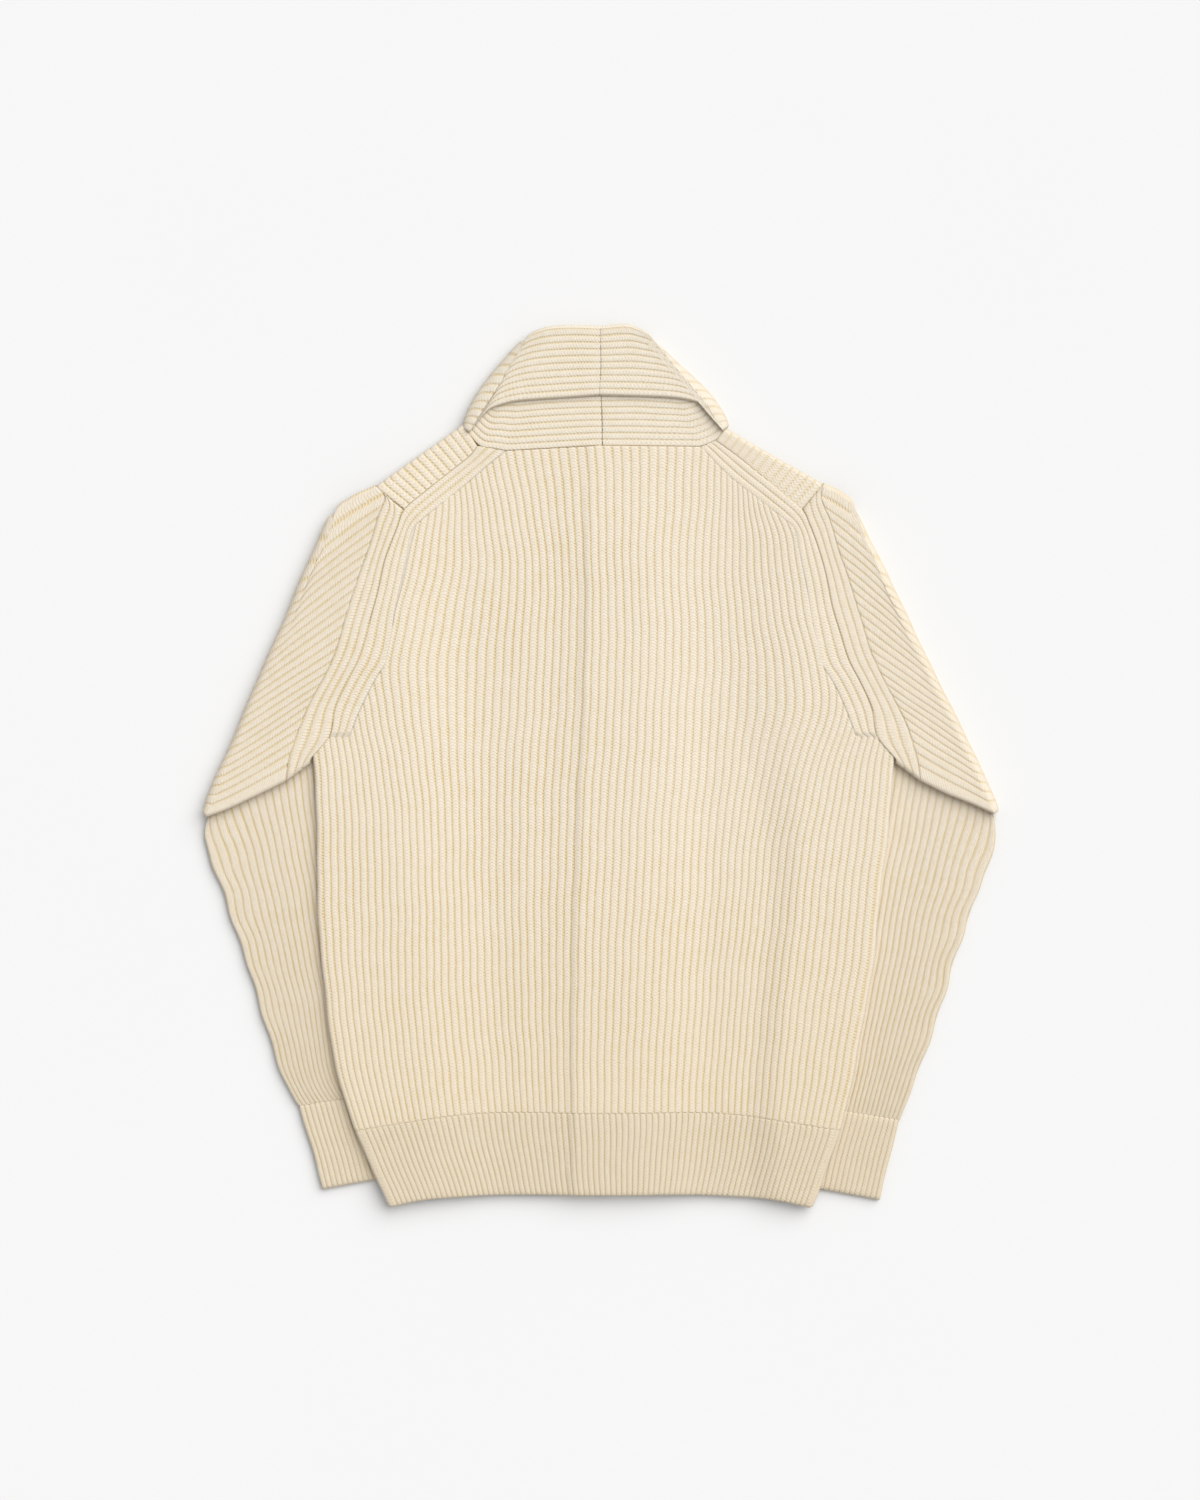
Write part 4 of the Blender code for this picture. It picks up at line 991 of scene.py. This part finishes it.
def sleeve(side):
    net = Net()
    fold = Fold(*FOLD_LINE[side], FOLD_R, TUBE_H)
    shift = SHOULDER_SHIFT * side
    stations = np.linspace(0, SHOULDER_CORNER + 1, 70)
    seam = seam_curve(side, -SEAM, stations)
    fade = np.clip(1 - stations, 0, 1)
    body_side = side * float(rib_x(0 if side < 0 else RIB_COUNT, ARMPIT[1]))
    seam[:, 0] += (max(seam[0, 0], body_side) + SEAM_CLEAR[0] - seam[0, 0]) * fade
    seam[:, 1] += SEAM_CLEAR[1] * fade
    start = (max(UNDER_SEAM[0] + shift, body_side) + SEAM_CLEAR[0], UNDER_SEAM[1])
    seam = np.vstack([start, seam])
    band = np.array(SLEEVE_BAND, float)[::-1] + (shift, 0)
    band = np.vstack([band, SLEEVE_HEAD[side][0]])
    top, elbow = fold.ends
    side_edges = [band[0], *UNDERARM[side], elbow], [*SLEEVE_HEAD[side], top]
    upper = patch(band, [elbow, top], *side_edges, 4, rib_lean)
    outer, inner, _, _ = (np.array(p, float) for p in CUFF[side])
    side_edges = [elbow, *LOWER_EDGE, outer], [top, *INNER_EDGE, inner]
    lower = patch([elbow, top], [outer, inner], *side_edges)
    rows = []
    for j in range(BAND_LINES):
        share = j / BAND_LINES

        def base(q, share=share):
            return along(seam, q) * (1 - share) + smooth_along(band, q) * share

        skin = Skin(band=j / LINES_PER_RIB)
        rows.append((base, 0, skin, skin if j == 0 else Skin(), 1.0))
    ribbed, plain = Skin(SLEEVE_RIBS, SELVEDGE), Skin()
    rows.append((lambda q: upper(q, 0.0), 0, Skin(band=BAND_LAST - BAND_FIRST), plain, 1.0))
    for v in UPPER_ROWS:
        rows.append((lambda q, v=v: upper(q, v), 0, ribbed, plain, 1.0))
    for turn in FOLD_TURNS:

        def base(q, turn=turn):
            return along([elbow, top], slanted(rib_lean(q), turn, FOLD_SLANT))

        skin = Skin(SLEEVE_RIBS, SELVEDGE, turned_down(turn)) if turn < 180 else plain
        rows.append((base, turn, skin, plain, 1.0))
    for v in LOWER_ROWS:
        full = 0.8 if v == 1 else 1.0
        rows.append((lambda q, v=v: lower(q, v), 180, plain, Skin(SLEEVE_RIBS), full))
    tube(net, fold, rows)
    return net


def cuff(side):
    net = Net()
    fold = Fold(*FOLD_LINE[side], FOLD_R, TUBE_H)
    outer, inner, edge_outer, edge_inner = (np.array(p, float) for p in CUFF[side])
    across, down = unit(inner - outer) * CUFF_STEP, unit(edge_outer - outer) * 2 * SEAM
    outer, inner = outer + across + down, inner - across + down
    length = float(np.linalg.norm(edge_outer - outer))
    rows = []
    for v in CUFF_ROWS:
        ends = (outer * (1 - v) + edge_outer * v, inner * (1 - v) + edge_inner * v)
        full = float(dip((1 - v) * length, RIM_ROUND, 0.35) * dip(v * length, SEAM_EASE, 0.75))
        rows.append((lambda q, ends=ends: along(ends, q), 180, Skin(), Skin(CUFF_RIBS), full))
    tube(net, fold, rows)
    return net


# ---- collar


def collar_ring(seam, roll, free, ribbed, fade, slide=0.0):
    """One section of a collar half, round from the seam: places, heights, keys and knit across."""
    width = np.linalg.norm(roll - seam)
    across = unit(roll - seam)
    turn = width - COLLAR_H - RIB
    start = seam + across * turn
    length = np.linalg.norm(free - start)
    fall = np.linspace(0, 1, COLLAR_FALL_RIBS * LINES_PER_RIB + 1 if ribbed else 9)
    stand = np.linspace(1, 0, COLLAR_STAND_RIBS * LINES_PER_RIB + 1 if ribbed else 3)
    rib_rise = RISE * fade if ribbed else 0
    ring = [(seam + across * turn * f, -COLLAR_H, f, 0) for f in (0, 0.5, 1)]
    for turned in range(15, 180, 15):
        angle = math.radians(turned)
        place = seam + across * (turn + COLLAR_H * math.sin(angle))
        rise = 0.7 * rib_rise * (turned / 180)
        ring.append((place, -(COLLAR_H + rise) * math.cos(angle), 1 + turned / 180, 0.3))
    for f in fall:
        k = f * COLLAR_FALL_RIBS
        rise = rib_rise * (0.85 if k < 0.5 else float(rib_profile(k)))
        rim = float(dip((1 - f) * length, COLLAR_RIM, 0.2))
        height = COLLAR_SLIT + (COLLAR_H + rise - COLLAR_SLIT) * rim
        there = slanted(f, 90, -slide)
        ring.append((start + (free - start) * there, height, 2 + f, float(across_rib(k))))
    ring += [(free + (start - free) * f, COLLAR_SLIT, 4 + f, 0) for f in (0, 0.5, 1)]
    ring.append((seam + across * (turn + COLLAR_SLIT), 0.0, 5.5, 0))
    ring.append((start, -COLLAR_SLIT, 6, 0))
    for f in stand:
        k = f * COLLAR_STAND_RIBS
        rise = rib_rise * float(rib_profile(k))
        place = seam + across * width * STAND_SEEN * f
        ring.append((place, -COLLAR_SLIT + rise, 8 - f, float(across_rib(k))))
    places, heights, keys, cross = zip(*ring)
    return np.array(places), np.array(heights), list(keys), np.array(cross)


def section(table, t):
    """Seam, roll line and free edge between the rows of a table."""
    return curve(t, range(len(table)), table.reshape(len(table), 6)).reshape(3, 2)


def collar(side):
    net = Net()
    seam_end, roll_end = CREASE[side]
    fold = Fold(roll_end, seam_end, COLLAR_FOLD_R, COLLAR_H, COLLAR_FOLD_END, COLLAR_BOW)
    roll_axis, seam_axis = fold.ends
    crease_run = roll_axis - seam_axis
    free_axis = seam_axis + crease_run * CREASE_FREE / np.linalg.norm(crease_run)
    crease = np.array([seam_axis, roll_axis, free_axis])
    over = [(neck(side, seam[0]), roll, free) for seam, roll, free in COLLAR_OVER[side]]
    table = np.array([*over, crease], float)
    rows = []
    for t in COLLAR_ROWS:
        corners = section(table, t)
        if t < 4:
            corners[0] = neck(side, corners[0][0])
        away = abs(corners[0][0] - table[0, 0, 0])
        fade = float(dip(away, 3.0, 0.2))
        if side < 0 and away < COLLAR_SELVEDGE:
            fade = 0.25 + 0.4 * math.sin(math.pi * min(away / COLLAR_SELVEDGE, 0.5))
        before = 0.5 * max(t - 4, 0) / (len(table) - 5)
        rows.append((corners, 0, True, fade, COLLAR_FOLD_SLANT * before**2))
    for turn in FOLD_TURNS:
        slide = COLLAR_FOLD_SLANT * (0.5 + 0.5 * min(turn, 90) / 90) ** 2
        rows.append((crease, turn, turn < 180, turned_down(turn), slide))
    table = np.array([crease, *COLLAR_UNDER[side]], float)
    for t in np.linspace(0, len(table) - 1, 30)[1:]:
        rows.append((section(table, t), 180, False, 1.0, 0.0))
    rings = []
    run, last = 0.0, None
    for corners, turn, ribbed, fade, slide in rows:
        places, heights, keys, cross = collar_ring(*corners, ribbed, fade, slide)
        laid = fold.lay(places, heights, turn)
        middle = laid[len(laid) // 3]
        run = run if last is None else run + float(np.linalg.norm(middle - last))
        last = middle
        chain = net.line(laid[:, :2], laid[:, 2], cross if ribbed else None, run)
        rings.append((chain, keys, laid))
    for (a, key_a, _), (b, key_b, _) in zip(rings, rings[1:]):
        net.join(a + a[:1], b + b[:1], [*key_a, 9], [*key_b, 9])
    for chain, _, laid in (rings[0], rings[-1]):
        run = unit(laid[2] - laid[0])
        net.fill(chain, 0.0, section=[(float((p - laid[0]) @ run), float(p[2])) for p in laid])
    return net


def neck(side, out):
    """The neck seam of the collar at a distance from the middle."""
    end = band_rows(side)[-1]
    corner = seam_rows(side, 0)[-1]
    y = np.interp(out, (NECK_MIDDLE[0], end[0], corner[0]), (NECK_MIDDLE[1], end[1], corner[1]))
    return (out, float(y) + 2 * SEAM)


# ---- wool


class Amount:
    """A changing number in a material: arithmetic on it adds Math nodes."""

    def __init__(self, shade, socket):
        self.shade, self.socket = shade, socket

    def _with(self, operation, *others):
        values = {i: v.socket if isinstance(v, Amount) else v for i, v in enumerate(others)}
        made = self.shade.node("ShaderNodeMath", {"operation": operation}, values)
        return Amount(self.shade, made.outputs[0])

    def __add__(self, other):
        return self._with("ADD", self, other)

    def __sub__(self, other):
        return self._with("SUBTRACT", self, other)

    def __rsub__(self, other):
        return self._with("SUBTRACT", other, self)

    def __mul__(self, other):
        return self._with("MULTIPLY", self, other)

    def __truediv__(self, other):
        return self._with("DIVIDE", self, other)

    __radd__ = __add__
    __rmul__ = __mul__

    def swing(self):
        """0 at whole numbers and 1 halfway between them."""
        return self._with("PINGPONG", self, 0.5) * 2

    def step(self, low, high):
        """Soft step from 0 at low to 1 at high."""
        made = self.shade.node(
            "ShaderNodeMapRange",
            {"interpolation_type": "SMOOTHSTEP"},
            {"Value": self.socket, "From Min": low, "From Max": high},
        )
        return Amount(self.shade, made.outputs[0])


class Shade:
    """A material under construction."""

    def __init__(self, name):
        self.material = bpy.data.materials.new(name)
        self.material.use_nodes = True
        self.tree = self.material.node_tree
        self.bsdf = self.tree.nodes["Principled BSDF"]

    def node(self, kind, settings, values):
        made = self.tree.nodes.new(kind)
        for key, value in settings.items():
            setattr(made, key, value)
        self.feed(made, values)
        return made

    def feed(self, node, values):
        """Sets sockets of a node, or links them."""
        for key, value in values.items():
            value = value.socket if isinstance(value, Amount) else value
            if isinstance(value, bpy.types.NodeSocket):
                self.tree.links.new(value, node.inputs[key])
            else:
                node.inputs[key].default_value = value

    def surface(self, values):
        self.feed(self.bsdf, values)

    def parts(self, vector):
        """The three numbers of a vector."""
        split = self.node("ShaderNodeSeparateXYZ", {}, {0: vector})
        return [Amount(self, socket) for socket in split.outputs]

    def noise(self, place, scale, detail, rough=0.5):
        values = {"Vector": place, "Scale": scale, "Detail": detail, "Roughness": rough}
        return Amount(self, self.node("ShaderNodeTexNoise", {}, values).outputs[0])

    def mix(self, factor, low, high):
        """Colour between two, which are colours or sockets."""
        made = self.node("ShaderNodeMix", {"data_type": "RGBA"}, {0: factor, 6: low, 7: high})
        return made.outputs[2]


# Wool: noises as scale, detail and roughness, from slow changes of colour to single fibres
WOOL_NOISE = ((11.0, 2.0), (70.0, 3.0), (250.0, 3.0, 0.6), (620.0, 4.0, 0.7))
PAINTED_LIGHT_ACROSS, PAINTED_LIGHT_UP = (-0.05, 0.08), (-0.2, 0.05)  # metres: painted light, the grooves are painted lighter to the right and up, towards the lamp
PAINTED_LIGHT_SHARE = 0.35  # painted light hides this share of the grooves' colour there
PAINTED_SHADE_DOWN = (0.05, -0.38)  # metres: painted shade, the wool is painted darker towards the hem and cuffs
WARMER = (0.985, 0.955, 0.9)
PAINTED_EDGE_SHADE = (0.78, 0.75, 0.69)  # painted shade on the steep, sideways facing edges: its colour as a share of the crests'


def wool(name, crest, groove, shadow):
    """Brushed fisherman-rib wool: ribs of V stitches, with a ladder of floats in each groove."""
    shade = Shade(name)
    own = shade.node("ShaderNodeAttribute", {"attribute_name": "knit"}, {})
    cross, run, ribbed = shade.parts(own.outputs["Vector"])
    place = shade.node("ShaderNodeTexCoord", {}, {}).outputs["Object"]
    x, y, _ = shade.parts(place)
    facing = shade.node("ShaderNodeNewGeometry", {}, {}).outputs["True Normal"]
    upward = shade.parts(facing)[2]

    # The undersides have no ribs of their own, and take straight ones
    cross = cross * ribbed + (x * (1000 / GROUND_PITCH)).swing() * (1 - ribbed)
    run = run * ribbed + y * 1000 * (1 - ribbed)
    drift, patchy, uneven, fuzz = (shade.noise(place, *scale) for scale in WOOL_NOISE)
    stitch = (run / STITCH + cross * 0.62 + (fuzz - 0.5) * 0.5).swing().step(0.0, 0.5)
    cross = cross + (uneven - 0.5) * 0.7 + (patchy - 0.5) * 0.35
    in_groove = cross.step(0.6, 0.95)
    gap = (run / STITCH + 0.25).swing().step(0.35, 0.8) * in_groove
    # Painted light: the grooves are painted lighter towards the upper right, where the lamp stands
    painted_light_factor = 1 - x.step(*PAINTED_LIGHT_ACROSS) * y.step(*PAINTED_LIGHT_UP) * PAINTED_LIGHT_SHARE

    def colour_of(factors):
        return (*(c * f for c, f in zip(crest, factors)), 1)

    shadow = (*shadow, 1)
    # The groove colour is partly the wool's own and partly painted shade in the grooves
    tone = cross.step(0.5, 0.95) + (patchy - 0.5) * 0.7 + (fuzz - 0.5) * 1.1
    colour = shade.mix(tone.step(0.0, 1.0) * painted_light_factor, (*crest, 1), (*groove, 1))
    grain = (1 - stitch) * 0.26 * (1 - in_groove) + fuzz.step(0.55, 0.35) * 0.14
    colour = shade.mix(grain + uneven.step(0.6, 0.38) * 0.16, colour, shadow)
    # Painted shade: the holes between the floats take the shadow colour, less where painted light
    # lies
    colour = shade.mix(gap * painted_light_factor * 0.8, colour, shadow)
    colour = shade.mix(drift.step(0.3, 0.75) * 0.35, colour, colour_of(WARMER))
    # Painted shade: the plain faces, which lie hidden under other layers or in shade, take the
    # shadow colour
    colour = shade.mix((1 - ribbed) * 0.8, colour, shadow)
    # Painted shade: darker towards the hem
    colour = shade.mix(y.step(*PAINTED_SHADE_DOWN) * 0.2, colour, shadow)
    # Painted shade: surfaces that face sideways are painted darker
    colour = shade.mix(upward.step(1.0, 0.35) * 0.75, colour, colour_of(PAINTED_EDGE_SHADE))
    relief = stitch * 0.5 * (1 - in_groove) + fuzz * 0.7 - gap * 0.8
    depth = {"Height": relief, "Strength": 0.8, "Distance": 0.0006}
    bump = shade.node("ShaderNodeBump", {}, depth)
    shade.surface({
        "Base Color": colour,
        "Roughness": fuzz * 0.15 + 0.82,
        "Normal": bump.outputs[0],
        "Specular IOR Level": 0.2,
        "Sheen Weight": 0.12,
        "Sheen Roughness": 0.6,
        "Sheen Tint": (1.0, 0.96, 0.88, 1),
    })
    return shade.material


# ---- garment


SHEETS = {
    # slot, whole flat size in metres, flat area in square metres, how it lies
    "back": ("body_knit", (0.58, 0.66), 0.318, "laid"),
    "back_hem": ("band_knit", (0.49, 0.085), 0.037, "laid"),
    "front_hem": ("band_knit", (0.19, 0.085), 0.0119, "laid"),
    "front": ("body_knit", (0.25, 0.68), 0.109, "folded"),
    "sleeve": ("body_knit", (0.48, 0.62), 0.175, "folded"),
    "cuff": ("band_knit", (0.215, 0.09), 0.0168, "laid"),
    "collar": ("collar_knit", (0.24, 0.95), 0.104, "folded"),
}
WOOLS = {
    # colours of ecru wool on the crests; in the grooves, partly the wool's own and partly painted
    # shade; and a painted shade colour for the deepest gaps
    "body_knit": ("rib", (0.865, 0.785, 0.665), (0.83, 0.69, 0.44), (0.71, 0.54, 0.30)),
    "band_knit": ("band", (0.815, 0.735, 0.61), (0.77, 0.65, 0.44), (0.64, 0.49, 0.28)),
    "collar_knit": ("collar", (0.865, 0.795, 0.68), (0.82, 0.69, 0.465), (0.70, 0.54, 0.32)),
}


def dress():
    knit = {slot: wool(f"ecru_{n}_wool", *colours) for slot, (n, *colours) in WOOLS.items()}

    build("back", back_panel(), place_back, knit)
    build("back_hem", hem_band(), place_back, knit)
    for side, n in ((-1, "left"), (1, "right")):
        place, on_hem = partial(place_front, side), partial(place_hem, side)
        build(f"front_hem_{n}", front_hem(side), on_hem, knit)
        build(f"front_{n}", front(side), place, knit)
        build(f"sleeve_{n}", sleeve(side), place, knit)
        build(f"cuff_{n}", cuff(side), place, knit)
        build(f"collar_{n}", collar(side), place, knit)


# ---- floor, light and camera

CAMERA_AT = (-0.0014, 0.015, 3.342)
FRAME_TALL = 1.41  # height of the field that the camera takes in, at the garment's surface
CLOTH_TOP = 0.012
LIGHT_FROM = (0.47, 0.52, 0.74)
LIGHT_SPREAD = 60.0  # degrees, as of a large window
LIGHT_POWER = 2.62
FILL = 0.48
FLOOR_SIZE = 80.0
FLOOR_GREY = (0.855, 0.865)


def studio():
    bpy.ops.mesh.primitive_plane_add(size=FLOOR_SIZE, location=(0, 0, 0))
    floor = bpy.context.object
    floor.name = "floor"
    shade = Shade("pale_floor")
    place = shade.node("ShaderNodeTexCoord", {}, {}).outputs["Object"]
    colour = shade.mix(shade.noise(place, 3.0, 1.0), *((c, c, c, 1) for c in FLOOR_GREY))
    shade.surface({"Base Color": colour, "Roughness": 0.9, "Specular IOR Level": 0.1})
    floor.data.materials.append(shade.material)

    key = bpy.data.lights.new("window", "SUN")
    key.angle = math.radians(LIGHT_SPREAD)
    key.energy = LIGHT_POWER
    key.color = (1.0, 1.0, 0.995)
    lamp = bpy.data.objects.new("window", key)
    lamp.rotation_euler = (-Vector(LIGHT_FROM)).to_track_quat("-Z", "Y").to_euler()
    bpy.context.scene.collection.objects.link(lamp)

    world = bpy.data.worlds.new("studio")
    world.use_nodes = True
    background = world.node_tree.nodes["Background"].inputs
    background["Color"].default_value = (1.0, 1.0, 1.0, 1)
    background["Strength"].default_value = FILL
    bpy.context.scene.world = world

    lens = bpy.data.cameras.new("camera")
    lens.sensor_fit = "VERTICAL"
    lens.sensor_height = 36.0
    lens.lens = lens.sensor_height * (CAMERA_AT[2] - CLOTH_TOP) / FRAME_TALL
    lens.clip_end = 200.0
    camera = bpy.data.objects.new("camera", lens)
    camera.location = CAMERA_AT
    bpy.context.scene.collection.objects.link(camera)
    bpy.context.scene.camera = camera
    bpy.context.scene.view_settings.view_transform = "Standard"


dress()
studio()
